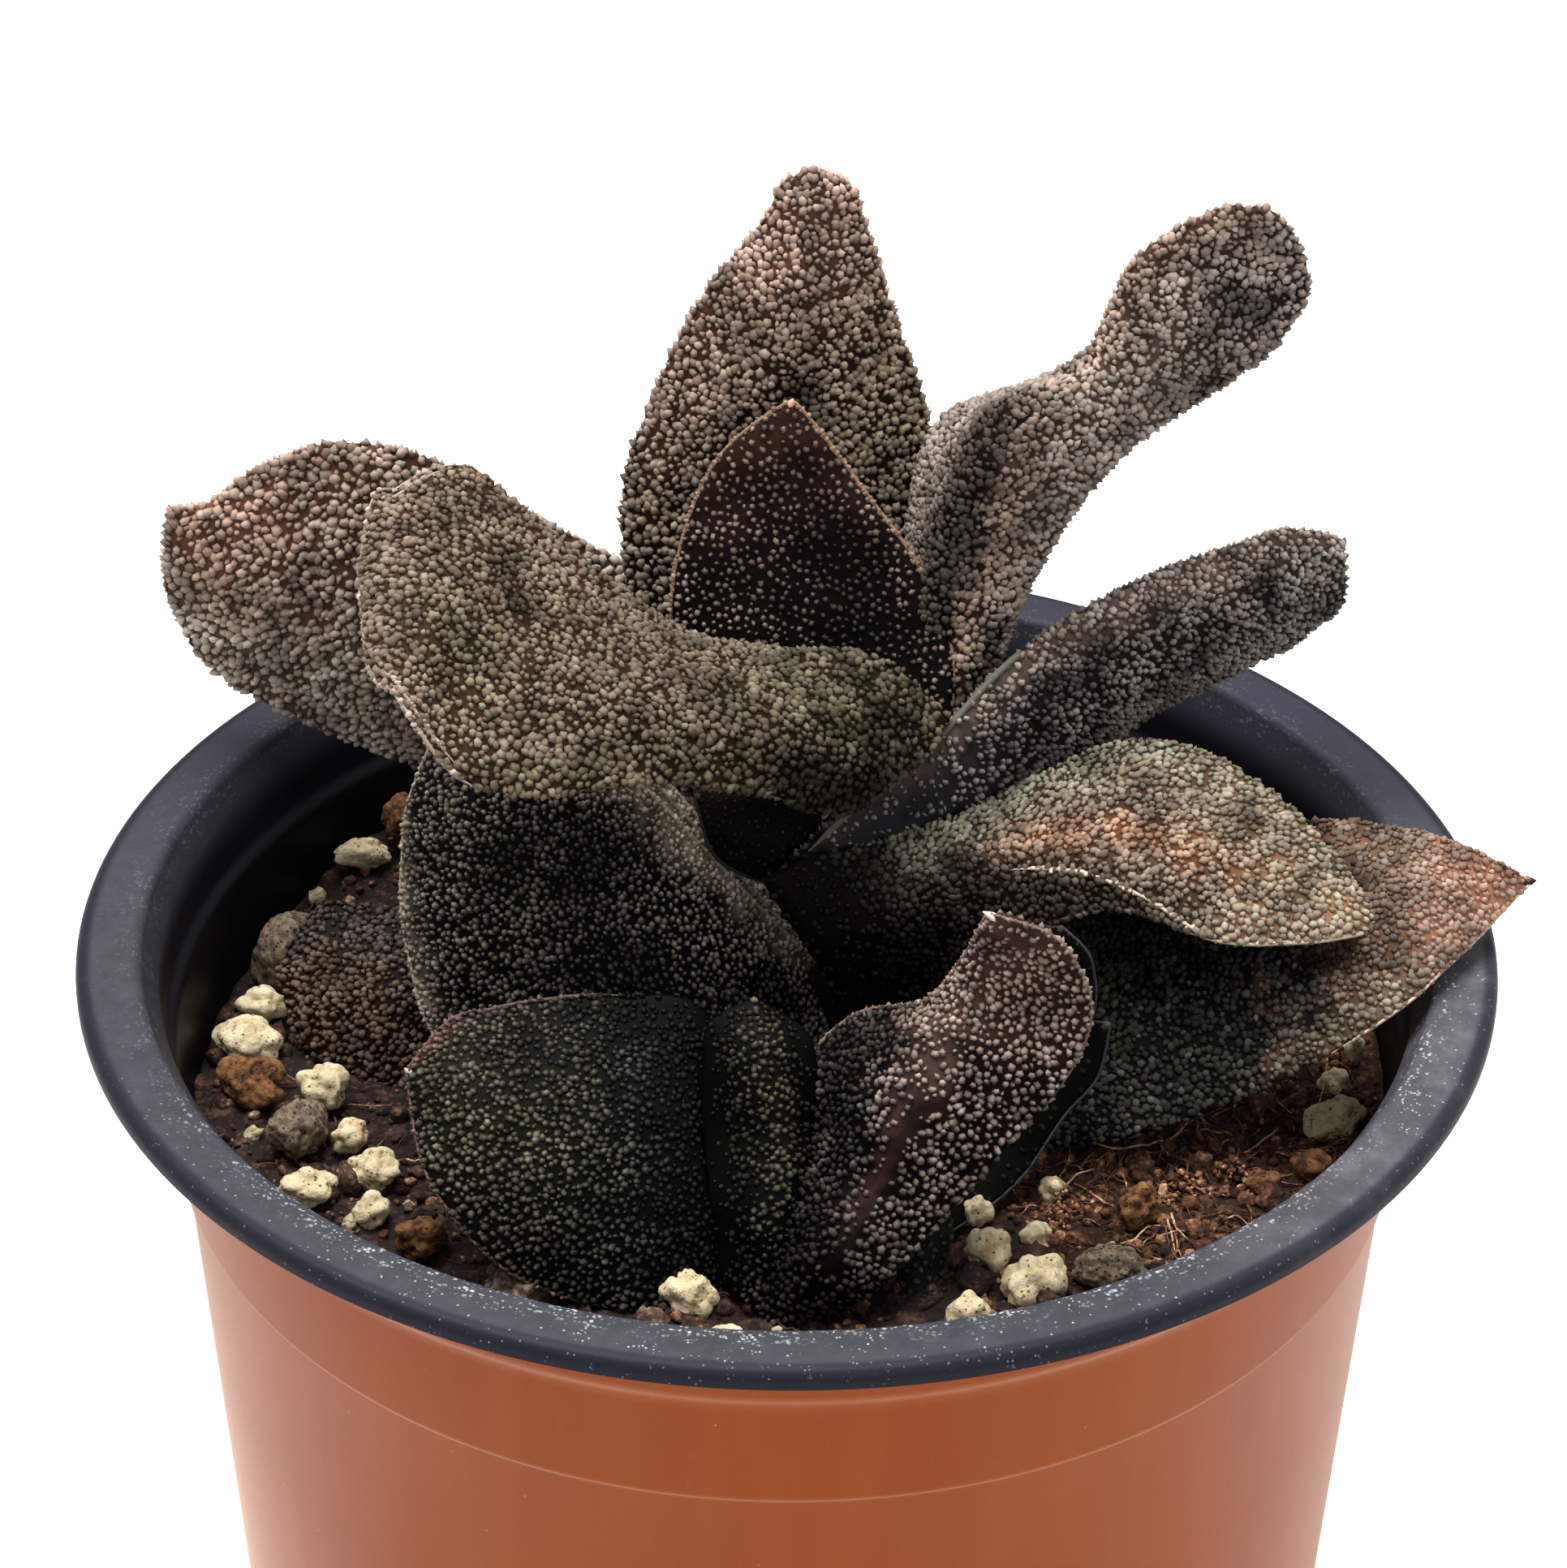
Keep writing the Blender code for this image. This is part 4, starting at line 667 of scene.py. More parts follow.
class Paint:
    """A Principled material and short calls that add nodes to it."""

    def __init__(self, name, roughness, specular):
        self.material = bpy.data.materials.new(name)
        self.material.use_nodes = True
        self.tree = self.material.node_tree
        self.shader = self.tree.nodes["Principled BSDF"]
        self.fill(self.shader, {"Roughness": roughness, "Specular IOR Level": specular})
        self.place = self.add("TexCoord").outputs["Object"]

    def fill(self, node, inputs):
        """Set a node's inputs to values, or link them to other nodes' outputs."""
        for key, value in inputs.items():
            if isinstance(value, bpy.types.NodeSocket):
                self.tree.links.new(value, node.inputs[key])
            else:
                node.inputs[key].default_value = value

    def add(self, kind, inputs={}, **settings):
        node = self.tree.nodes.new("ShaderNode" + kind)
        for key, value in settings.items():
            setattr(node, key, value)
        self.fill(node, inputs)
        return node

    def noise(self, size, detail=3.0, roughness=0.55, place=None):
        """Noise from 0 to 1 with features of about the given size in millimetres."""
        inputs = {"Scale": 1.0 / (size * MM), "Detail": detail, "Roughness": roughness}
        return self.add("TexNoise", {**inputs, "Vector": place or self.place}).outputs["Fac"]

    def stretched(self, *scale):
        return self.add("Mapping", {"Scale": scale, "Vector": self.place}).outputs["Vector"]

    def cells(self, size):
        """Distance in cells of the given size in millimetres."""
        inputs = {"Scale": 1.0 / (size * MM), "Vector": self.place}
        return self.add("TexVoronoi", inputs).outputs["Distance"]

    def part(self, value, low, high, start=0.0, end=1.0):
        """value brought from low..high to start..end, and held there."""
        keys = ("Value", "From Min", "From Max", "To Min", "To Max")
        inputs = dict(zip(keys, (value, low, high, start, end)))
        return self.add("MapRange", inputs, interpolation_type="SMOOTHSTEP").outputs["Result"]

    def math(self, kind, *values):
        """A chain of math nodes of one kind over two values or more."""
        result = values[0]
        for value in values[1:]:
            result = self.add("Math", {0: result, 1: value}, operation=kind).outputs["Value"]
        return result

    def times(self, *values):
        return self.math("MULTIPLY", *values)

    def mix(self, factor, one, two, blend="MIX"):
        inputs = {"Factor": factor, 6: shade(one), 7: shade(two)}
        return self.add("Mix", inputs, data_type="RGBA", blend_type=blend).outputs[2]

    def toned(self, factor, value, tone):
        """A colour multiplied by another, by the amount of factor."""
        return self.mix(factor, value, self.mix(1.0, value, tone, "MULTIPLY"))

    def ramp(self, factor, stops):
        """A colour from a list of (place, colour)."""
        node = self.add("ValToRGB", {"Fac": factor})
        elements = node.color_ramp.elements
        while len(elements) < len(stops):
            elements.new(0.5)
        for element, (place, colour) in zip(elements, stops):
            element.position = place
            element.color = shade(colour)
        return node.outputs["Color"]

    def axes(self):
        split = [self.add("SeparateXYZ", {"Vector": self.place}) for _ in range(3)]
        return [node.outputs[index] for index, node in enumerate(split)]

    def stored(self, name):
        """The four channels of a colour attribute: red, green, blue, alpha."""
        node = self.add("Attribute", attribute_name=name)
        split = self.add("SeparateColor", {"Color": node.outputs["Color"]})
        return [split.outputs[0], split.outputs[1], split.outputs[2], node.outputs["Alpha"]]

    def bump(self, height, distance, strength=1.0):
        node = self.add("Bump", {"Distance": distance * MM, "Strength": strength, "Height": height})
        self.fill(self.shader, {"Normal": node.outputs["Normal"]})

    def colour(self, value):
        self.fill(self.shader, {"Base Color": value})
        return self.material


# Mesh helpers

def placed(name, data):
    thing = bpy.data.objects.new(name, data)
    bpy.context.scene.collection.objects.link(thing)
    return thing


def mesh_of(shape):
    mesh = bpy.data.meshes.new("shape")
    shape.to_mesh(mesh)
    shape.free()
    return mesh


def mesh_object(name, points, faces, material, marks=None, patches=None):
    """A smooth object from points in millimetres and triangles, with rows of four marks."""
    points, faces = np.asarray(points, float), np.asarray(faces, np.int32)
    mesh = bpy.data.meshes.new(name)
    mesh.vertices.add(len(points))
    mesh.vertices.foreach_set("co", (points * MM).astype(np.float32).ravel())
    mesh.loops.add(faces.size)
    mesh.loops.foreach_set("vertex_index", faces.ravel())
    mesh.polygons.add(len(faces))
    mesh.polygons.foreach_set("loop_start", np.arange(0, faces.size, 3, dtype=np.int32))
    mesh.update(calc_edges=True)
    mesh.validate()
    for key, rows in (("marks", marks), ("patches", patches)):
        if rows is not None:
            layer = mesh.color_attributes.new(key, "FLOAT_COLOR", "POINT")
            layer.data.foreach_set("color", np.asarray(rows, np.float32).ravel())
    mesh.shade_smooth()
    mesh.materials.append(material)
    return placed(name, mesh)


def arrays(mesh):
    """Points in millimetres and triangles of a mesh."""
    points = np.zeros(len(mesh.vertices) * 3, np.float32)
    mesh.vertices.foreach_get("co", points)
    mesh.calc_loop_triangles()
    triangles = np.zeros(len(mesh.loop_triangles) * 3, np.int32)
    mesh.loop_triangles.foreach_get("vertices", triangles)
    return points.reshape(-1, 3).astype(float) / MM, triangles.reshape(-1, 3)


def evaluated(thing):
    graph = bpy.context.evaluated_depsgraph_get()
    mesh = bpy.data.meshes.new_from_object(thing.evaluated_get(graph))
    bpy.data.objects.remove(thing, do_unlink=True)
    return mesh


def plain_mesh(points, faces):
    mesh = bpy.data.meshes.new("plain")
    mesh.from_pydata((points * MM).tolist(), [], faces.tolist())
    return mesh


def less(mesh, cutters):
    """The mesh less each cutter mesh."""
    target = placed("target", mesh)
    helpers = [placed("cutter", cutter) for cutter in cutters]
    for helper in helpers:
        boolean = target.modifiers.new("Cut", "BOOLEAN")
        boolean.operation = "DIFFERENCE"
        boolean.solver = "MANIFOLD"
        boolean.object = helper
    result = evaluated(target)
    for helper in helpers:
        bpy.data.objects.remove(helper, do_unlink=True)
    return result


def largest_piece(points, triangles):
    """The triangles of the piece with the most of them, with points that only it uses."""
    group = np.arange(len(points))
    while True:
        low = group[triangles].min(axis=1)
        fresh = group.copy()
        for corner in range(3):
            np.minimum.at(fresh, triangles[:, corner], low)
        fresh = fresh[fresh]
        if np.array_equal(fresh, group):
            break
        group = fresh
    owner = group[triangles[:, 0]]
    used, again = np.unique(triangles[owner == np.bincount(owner).argmax()], return_inverse=True)
    return points[used], again.reshape(-1, 3)


def unit(vectors):
    return vectors / (np.linalg.norm(vectors, axis=-1, keepdims=True) + 1e-9)


def shell(count, around):
    """Triangles of a closed shell: rings of points one after another, then its two end points."""
    i, k = np.meshgrid(np.arange(count - 1), np.arange(around), indexing="ij")
    a = (i * around + k).ravel()
    b = (i * around + (k + 1) % around).ravel()
    ring = np.arange(around)
    after = (ring + 1) % around
    last = (count - 1) * around
    end = np.full(around, count * around)
    strips = [(a, b, b + around), (a, b + around, a + around)]
    fans = [(after, ring, end), (last + ring, last + after, end + 1)]
    return np.concatenate([np.stack(corners, 1) for corners in strips + fans])


def tube(path, radii, sides=6):
    """Points and triangles of a closed tube along a path, in millimetres."""
    path = np.asarray(path, float)
    along = unit(np.gradient(path, axis=0))
    side = unit(np.cross(along, (0.13, 0.31, 0.94)))
    over = np.cross(along, side)
    turns = np.arange(sides) * 2 * math.pi / sides
    rings = path[:, None] + np.asarray(radii, float)[:, None, None] * (
        np.cos(turns)[None, :, None] * side[:, None] + np.sin(turns)[None, :, None] * over[:, None]
    )
    return np.concatenate([rings.reshape(-1, 3), path[:1], path[-1:]]), shell(len(path), sides)


class Pile:
    """Collects meshes with their marks, to make one object of them."""

    def __init__(self):
        self.meshes, self.count = [], 0

    def add(self, points, faces, marks, patches=(0.0, 0.0, 0.0, 0.0)):
        shape = (len(points), 4)
        rows = [np.broadcast_to(np.asarray(row, float), shape) for row in (marks, patches)]
        self.meshes.append((points, np.asarray(faces) + self.count, *rows))
        self.count += len(points)

    def build(self, name, material):
        points, faces, marks, patches = (np.concatenate(values) for values in zip(*self.meshes))
        return mesh_object(name, points, faces, material, marks, patches)


def finish_piece(thing, slot, *nodes):
    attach(thing, "root")
    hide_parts(*nodes)


def smooth_values(knots, values, places):
    """Values at the given places on a smooth curve through the knots."""
    slopes = np.gradient(values, knots, axis=0)
    index = np.clip(np.searchsorted(knots, places, side="right") - 1, 0, len(knots) - 2)
    span = knots[index + 1] - knots[index]
    t = ((places - knots[index]) / span)[:, None]
    span = span[:, None]
    start, end = values[index], values[index + 1]
    return (
        (2 * t**3 - 3 * t**2 + 1) * start + (t**3 - 2 * t**2 + t) * span * slopes[index]
        + (3 * t**2 - 2 * t**3) * end + (t**3 - t**2) * span * slopes[index + 1]
    )


def distances(line):
    """How far along a line each of its points is."""
    return np.append(0.0, np.cumsum(np.linalg.norm(np.diff(line, axis=0), axis=1)))


# Pot

def wall_radius(height):
    radius = SEAM_RADIUS + (height - SEAM_HEIGHT) * WALL_SLOPE
    if height > SEAM_HEIGHT:
        radius += SEAM_STEP
    if height > LEDGE_HEIGHT:
        radius += LEDGE_STEP
    return radius


def wall_line(offset):
    """(radius, height) down the wall's outside, moved inwards by offset."""
    line = [(wall_radius(height) - offset, height) for height in (89.6, 87.5, LEDGE_HEIGHT + 0.9)]
    for share in (0.15, 0.4, 0.65, 0.9):
        height = LEDGE_HEIGHT + 0.8 - 1.6 * share
        ease = 0.5 + 0.5 * math.cos(math.pi * share)
        base = wall_radius(LEDGE_HEIGHT - 0.01) + LEDGE_STEP * ease
        line.append((base + (height - LEDGE_HEIGHT) * WALL_SLOPE - offset, height))
    for height in (83.5, 80.0, SEAM_HEIGHT + 0.55, SEAM_HEIGHT + 0.35):
        line.append((wall_radius(height) - offset, height))
    line += [
        (wall_radius(SEAM_HEIGHT + 0.1) - 0.12 - offset, SEAM_HEIGHT + 0.08),
        (SEAM_RADIUS + 0.04 - offset, SEAM_HEIGHT - 0.12),
        (SEAM_RADIUS - 0.02 - offset, SEAM_HEIGHT - 0.4),
    ]
    for height in (60.0, 40.0, 20.0, FOOT_CHAMFER + 0.6):
        line.append((wall_radius(height) - offset, height + offset * 0.3))
    foot = wall_radius(0.0) - offset
    line += [(foot - 0.25, 1.2 + offset), (foot - 0.9, 0.35 + offset)]
    return line + [(foot - FOOT_CHAMFER, offset)]


def drain_hole(index):
    turn = 2 * math.pi * (index + 0.5) / HOLE_COUNT
    place = Vector((math.cos(turn), math.sin(turn), 0.0)) * HOLE_CIRCLE * MM
    shape = bmesh.new()
    bmesh.ops.create_cone(
        shape, cap_ends=True, segments=HOLE_SIDES, depth=HOLE_DEPTH * MM,
        radius1=HOLE_RADIUS * MM, radius2=HOLE_RADIUS * MM, matrix=Matrix.Translation(place),
    )
    return mesh_of(shape)


def turned(profile, material, name):
    """A closed profile of (radius, height) turned round Z, with the drain holes cut."""
    shape = bmesh.new()
    corners = [shape.verts.new((radius * MM, 0.0, height * MM)) for radius, height in profile]
    for ends in zip(corners, corners[1:]):
        shape.edges.new(ends)
    thing = placed(name, mesh_of(shape))
    screw = thing.modifiers.new("Turn", "SCREW")
    screw.steps = screw.render_steps = POT_SIDES
    screw.use_merge_vertices = True
    screw.merge_threshold = SAME_PLACE * MM
    shape = bmesh.new()
    shape.from_mesh(evaluated(thing))
    bmesh.ops.remove_doubles(shape, verts=shape.verts, dist=SAME_PLACE * MM)
    bmesh.ops.recalc_face_normals(shape, faces=shape.faces)
    mesh = less(mesh_of(shape), [drain_hole(index) for index in range(HOLE_COUNT)])
    mesh.materials.clear()
    mesh.materials.append(material)
    mesh.shade_smooth()
    mesh.set_sharp_from_angle(angle=math.radians(SHARP_ANGLE))
    finish_piece(placed(name, mesh), name, "pot")


def arc(centre, radius, start, end, count):
    """Points on an arc of a circle in (radius, height), angles in degrees."""
    turns = [math.radians(start + (end - start) * i / count) for i in range(count + 1)]
    return [(centre[0] + radius * math.cos(t), centre[1] + radius * math.sin(t)) for t in turns]


def terracotta():
    paint = Paint("terracotta", 0.45, 0.08)
    streak = paint.noise(3.0, 3.0, place=paint.stretched(1.0, 1.0, 0.12))
    base = paint.ramp(paint.noise(26.0, 2.0), [(0.3, (136, 60, 12)), (0.7, (142, 66, 16))])
    base = paint.mix(paint.part(streak, 0.35, 0.75, 0.0, 0.3), base, (150, 74, 24))
    base = paint.mix(paint.part(paint.noise(0.7, 4.0), 0.6, 0.8, 0.0, 0.2), base, (166, 98, 52))
    scuff = paint.part(paint.cells(2.6), 0.0, 0.05, 1.0, 0.0)
    base = paint.mix(paint.times(scuff, 0.5), base, (214, 170, 146))
    paint.bump(paint.noise(0.5, 3.0), 0.02, 0.5)
    sheen = {"Sheen Weight": 0.5, "Sheen Roughness": 0.4, "Sheen Tint": shade((255, 226, 206))}
    paint.fill(paint.shader, sheen)
    return paint.colour(base)


def black_plastic():
    """Nearly black inside, painted darker than the rim as shade, grey on top of the rim, with white
    dust towards the front and right.
    """
    paint = Paint("black_plastic", 0.5, 0.1)
    x, y, z = paint.axes()
    radius = paint.math("SQRT", paint.math("ADD", paint.times(x, x), paint.times(y, y)), 0.0)
    turn = paint.times(paint.math("ARCTAN2", y, x), 0.015)
    around = paint.add("CombineXYZ", {0: turn, 1: radius, 2: z}).outputs[0]
    top = paint.ramp(paint.noise(2.0, 5.0, 0.65), [(0.3, (48, 48, 54)), (0.7, (60, 60, 66))])
    top = paint.mix(paint.part(y, -0.005, 0.03), top, (43, 44, 53))
    outer = paint.part(radius, 0.0511, 0.0518)
    base = paint.mix(outer, top, (28, 28, 38))
    # Painted shade: below the rim the inside is painted nearly black, blacker still below the
    # ledge.
    depth = paint.part(z, 0.0868, 0.0908)
    deep = paint.mix(paint.part(z, 0.0845, 0.0852), (5, 5, 10), (14, 14, 22))
    # Painted highlight: a soft grey line along the inner ledge.
    ledge_highlight = paint.times(paint.part(z, 0.0842, 0.0848), paint.part(z, 0.0856, 0.0850), 0.4)
    deep = paint.mix(ledge_highlight, deep, (40, 39, 42))
    base = paint.mix(depth, deep, base)
    front = paint.part(y, -0.012, -0.05, 0.1, 1.0)
    right = paint.times(paint.part(x, 0.02, 0.05), paint.part(y, 0.02, -0.01))
    near = paint.math("MAXIMUM", front, right)
    grains = paint.part(paint.cells(0.34), 0.12, 0.3, 1.0, 0.0)
    dust = paint.times(grains, paint.part(paint.noise(1.5, 4.0, 0.7), 0.54, 0.64))
    specks = paint.times(paint.part(paint.cells(0.8), 0.06, 0.14, 1.0, 0.0), 0.6)
    streaks = paint.part(paint.noise(0.4, 4.0, 0.5, around), 0.48, 0.58)
    flecks = paint.times(streaks, paint.part(paint.cells(0.36), 0.25, 0.5, 1.0, 0.0))
    inner = paint.part(radius, 0.0502, 0.0486)
    flecks = paint.times(flecks, inner, paint.part(paint.noise(4.0, 3.0), 0.35, 0.6), 0.95)
    dust = paint.math("MAXIMUM", dust, specks, flecks)
    dust = paint.times(dust, near, paint.part(z, 0.0895, 0.0906))
    film = paint.part(paint.noise(5.0, 5.0, 0.7), 0.4, 0.75, 0.05, 0.2)
    dust = paint.math("MAXIMUM", dust, paint.times(film, right, depth))
    dust = paint.times(dust, paint.part(outer, 0.0, 1.0, 1.0, 0.35))
    base = paint.mix(dust, base, (180, 180, 186))
    paint.bump(paint.noise(0.35, 3.0), 0.03, 0.6)
    return paint.colour(base)


def make_pot():
    """The pot as two nested skins: terracotta outside, black inside and over the rolled rim."""
    top = POT_HEIGHT
    under = top - SHEET
    flange = RIM_RADIUS - 1.0
    neck = wall_line(0.0)[0][0]
    outer = [(flange, under + LAYER), (flange, under)]
    outer += arc((neck + 0.8, under - 0.8), 0.8, 90, 180, 4) + wall_line(0.0) + [(0.0, 0.0)]
    inner = [(0.0, LAYER)] + wall_line(LAYER)[::-1] + [(neck + 0.4, under + LAYER)]
    turned(outer + inner + outer[:1], terracotta(), "pot_outside")

    deep = SHEET - LAYER + 0.02
    low = top - RIM_DROP
    rolled = arc((RIM_RADIUS - RIM_ROLL, top - RIM_ROLL), RIM_ROLL, 0, 90, 6)[::-1]
    rolled += [(RIM_RADIUS, low + 0.15), (RIM_RADIUS - 0.25, low), (flange + 0.08, low)]
    rolled += [(flange + 0.05, top - deep + 0.02), (neck + 0.4, top - deep + 0.02)]
    rolled += wall_line(deep) + [(0.0, deep), (0.0, SHEET)] + wall_line(SHEET)[::-1]
    rolled += arc((MOUTH_RADIUS + RIM_ROLL, top - RIM_ROLL), RIM_ROLL, 180, 90, 5)
    rolled += [(MOUTH_RADIUS + 2.4, top), rolled[0]]
    turned(rolled, black_plastic(), "pot_lining")


# Leaves

class Leaf:
    """The smooth surface of a leaf: rings of points, their outward normals, and the tip."""

    def __init__(self, name):
        leaf, tip = LEAVES[name], LEAVES[name]["tip"]
        self.name, self.look, self.tip = name, LOOKS[name], np.array(tip)
        cuts = [(*left, *right, peak, rise) for left, right, peak, rise in leaf["rows"]]
        cuts = np.array(cuts + [(*tip, *tip, 0.0, 0.0)])
        knots = distances((cuts[:, :3] + cuts[:, 3:6]) / 2)
        count = round(knots[-1] / RING_PITCH)
        steps = np.linspace(0.0, TIP_CROWDING, count + 1)[:-1]
        places = knots[-1] * np.sin(steps) / math.sin(TIP_CROWDING)
        self.shares = places / knots[-1]
        cuts = smooth_values(knots, cuts, places)
        self.rings = self.loft(leaf, cuts[:, :3], cuts[:, 3:6], cuts[:, 6], cuts[:, 7], places)
        self.normals = self.find_normals()
        self.rings = self.rings + self.normals * (SKIN_LIFT + self.waves())[..., None]
        self.ahead = unit(np.gradient(self.rings, axis=0))

    def loft(self, leaf, left, right, peak, rise, places):
        middle = (left + right) / 2
        width = np.linalg.norm(right - left, axis=1)
        out = np.cross(right - left, np.gradient(middle, places, axis=0))
        out /= np.linalg.norm(out, axis=1)[:, None]
        taper = np.minimum(1.0, np.sqrt((1.0 - self.shares) / TIP_SHARE))
        edge = np.minimum(leaf["edge"], 0.3 * width) * taper
        swell = np.clip(1 - self.shares / ROOT_SHARE, 0, 1) ** 2
        root_back, blade_back = leaf["back"]
        back = (blade_back + (root_back - blade_back) * swell) * taper
        rise = rise * np.where(rise > 0, taper, 1.0)
        keel = self.look["keel"]
        rings = []
        for side in (1, -1):
            for k in range(HALF):
                u = -math.cos(math.pi * k / HALF) * side
                rim = edge * math.sqrt(max(0.0, 1 - u * u))
                if side > 0:
                    flank = np.where(u < peak, (u + 1) / (peak + 1), (1 - u) / (1 - peak))
                    flank = np.clip(flank, 0, 1)
                    full = np.sin(math.pi / 2 * flank) ** 1.3
                    lift = rim + rise * (full + keel * (flank ** 1.2 - full))
                else:
                    lift = -rim - back * (1 - u * u)
                rings.append(middle + (right - left) * u / 2 + out * lift[:, None])
        return np.array(rings).transpose(1, 0, 2)

    def find_normals(self):
        along = np.gradient(self.rings, axis=0)
        around = np.roll(self.rings, -1, axis=1) - np.roll(self.rings, 1, axis=1)
        normals = unit(np.cross(around, along))
        outward = self.rings - self.rings.mean(axis=1)[:, None]
        return normals if (normals * outward).sum() >= 0 else -normals

    def waves(self):
        """Soft dents and swellings of the surface."""
        lift = [noise.noise(Vector(place / WAVE_SIZE)) for place in self.rings.reshape(-1, 3)]
        return np.reshape(lift, self.rings.shape[:2]) * WAVE

    def solid(self, swell=0.0):
        """Points and triangles of the closed surface."""
        rings = self.rings + self.normals * swell
        ahead = self.tip - self.rings[-1].mean(axis=0)
        ahead /= np.linalg.norm(ahead)
        ends = [self.rings[0].mean(axis=0), self.tip + ahead * swell]
        points = np.concatenate([rings.reshape(-1, 3), ends])
        faces = shell(*rings.shape[:2])
        corners = points[faces]
        inside_out = (corners[:, 0] * np.cross(corners[:, 1], corners[:, 2])).sum() < 0
        return points, faces[:, ::-1] if inside_out else faces

    def columns(self, front):
        """Columns of one face from the left margin to the right."""
        return np.arange(HALF + 1) if front else np.arange(AROUND, HALF - 1, -1) % AROUND

    def spots(self, gap, tip_gap, front, rng):
        """Random places on one face, none too close, as rows and columns, and their gaps."""
        columns = self.columns(front)
        ring = self.rings[:, columns]
        widths = np.linalg.norm(np.diff(ring, axis=1), axis=2)
        widths = np.column_stack([np.zeros(len(widths)), np.cumsum(widths, axis=1)])
        steps = np.linalg.norm(np.diff(ring, axis=0), axis=2).mean(axis=1)
        areas = np.append(0.0, np.cumsum(steps * (widths[1:, -1] + widths[:-1, -1]) / 2))
        count = int(TRIES * areas[-1] / min(gap, tip_gap) ** 2)
        rows = np.interp(rng.uniform(0, areas[-1], count), areas, np.arange(len(areas)))
        rows = np.clip(rows, 0, len(areas) - 1.001)
        reach = rng.uniform(0, 1, count)
        across = np.array([
            np.interp(part * widths[row, -1], widths[row], np.arange(len(columns)))
            for part, row in zip(reach, np.rint(rows).astype(int))
        ])
        places = self.sample(self.rings, rows, across, columns)
        spacing = gap + (tip_gap - gap) * rows / len(areas)
        tree = KDTree(count)
        for index, place in enumerate(places):
            tree.insert(place, index)
        tree.balance()
        free = np.ones(count, bool)
        kept = []
        enough = CROWD * areas[-1] / (0.5 * (gap + tip_gap)) ** 2
        for index in range(count):
            if free[index] and len(kept) < enough:
                kept.append(index)
                for _, other, _ in tree.find_range(places[index], CLOSEST * spacing[index]):
                    free[other] = False
        return np.stack([rows, across, spacing], 1)[kept]

    def sample(self, values, rows, across, columns):
        """Values at places between the rows and columns of one face."""
        values = values[:, columns]
        i = rows.astype(int)
        k = np.minimum(across.astype(int), values.shape[1] - 2)
        a, b = (rows - i)[:, None], (across - k)[:, None]
        return (
            values[i, k] * (1 - a) * (1 - b) + values[i + 1, k] * a * (1 - b)
            + values[i, k + 1] * (1 - a) * b + values[i + 1, k + 1] * a * b
        )

    def margin(self, side, start, end):
        """Points and normals along one margin between two shares of the length."""
        column = 0 if side == "left" else HALF
        line, normals = self.rings[:, column], self.normals[:, column]
        if end >= 1.0:
            line, normals = np.vstack([line, self.tip]), np.vstack([normals, normals[-1]])
        shares = np.append(self.shares, 1.0)[: len(line)]
        return evenly(line, normals, *np.interp([start, end], shares, distances(line)))

    def route(self, stops):
        """Points and normals along a line on the front through stops of share and place across."""
        shares, across = stops.T
        spans = np.linspace(shares[0], shares[-1], ROUTE_STEPS)
        rows = np.interp(spans, self.shares, np.arange(len(self.shares)))
        rows = np.clip(rows, 0, len(self.shares) - 1.01)
        turns = np.arccos(-np.interp(spans, shares, across)) * HALF / math.pi
        columns = self.columns(True)
        line = self.sample(self.rings, rows, turns, columns)
        normals = self.sample(self.normals, rows, turns, columns)
        return evenly(line, normals, 0.0, distances(line)[-1])


def evenly(line, normals, first, last):
    """Points at an even pitch between two distances along a line, and their normals."""
    places = np.arange(first, last, MARGIN_PITCH)
    return tuple(
        np.column_stack([np.interp(places, distances(line), column) for column in values.T])
        for values in (line, normals)
    )


def warts(places, normals, radii, heights, rng, rounded, ahead=0.0):
    """Points, triangles and heights from 0 to 1 of small closed domes or cones."""
    count = len(places)
    tangent = np.cross(normals, rng.normal(size=(count, 3)))
    tangent /= np.linalg.norm(tangent, axis=1)[:, None]
    other = np.cross(normals, tangent)
    axis = normals + WART_TILT * rng.normal(size=(count, 1)) * tangent + ahead
    turns = np.arange(DOME_SIDES) * 2 * math.pi / DOME_SIDES
    long = rng.uniform(1.0, 1.15, (count, 1))
    rings = []
    for width, level in DOME_RINGS if rounded else DOME_RINGS[:1]:
        uneven = rng.uniform(1 - UNEVENNESS, 1 + UNEVENNESS, (count, DOME_SIDES, 1))
        reach = radii[:, None, None] * width * uneven
        ring = np.cos(turns)[None, :, None] * tangent[:, None] * long[:, None]
        ring = ring + np.sin(turns)[None, :, None] * other[:, None] / long[:, None]
        raised = axis[:, None] * (heights * level)[:, None, None]
        rings.append(places[:, None] + ring * reach + raised)
    top = (places + axis * heights[:, None])[:, None]
    points = np.concatenate(rings + [top], axis=1)
    per = points.shape[1]
    faces = [(0, k + 1, k) for k in range(1, DOME_SIDES - 1)]
    for k in range(DOME_SIDES):
        after = (k + 1) % DOME_SIDES
        if rounded:
            faces += [(k, after, after + DOME_SIDES), (k, after + DOME_SIDES, k + DOME_SIDES)]
            faces.append((k + DOME_SIDES, after + DOME_SIDES, per - 1))
        else:
            faces.append((k, after, per - 1))
    faces = np.array(faces)[None] + (np.arange(count) * per)[:, None, None]
    rise = [0.28] * DOME_SIDES + [0.75] * DOME_SIDES if rounded else [0.4] * DOME_SIDES
    return points.reshape(-1, 3), faces.reshape(-1, 3), np.tile(rise + [1.0], count)


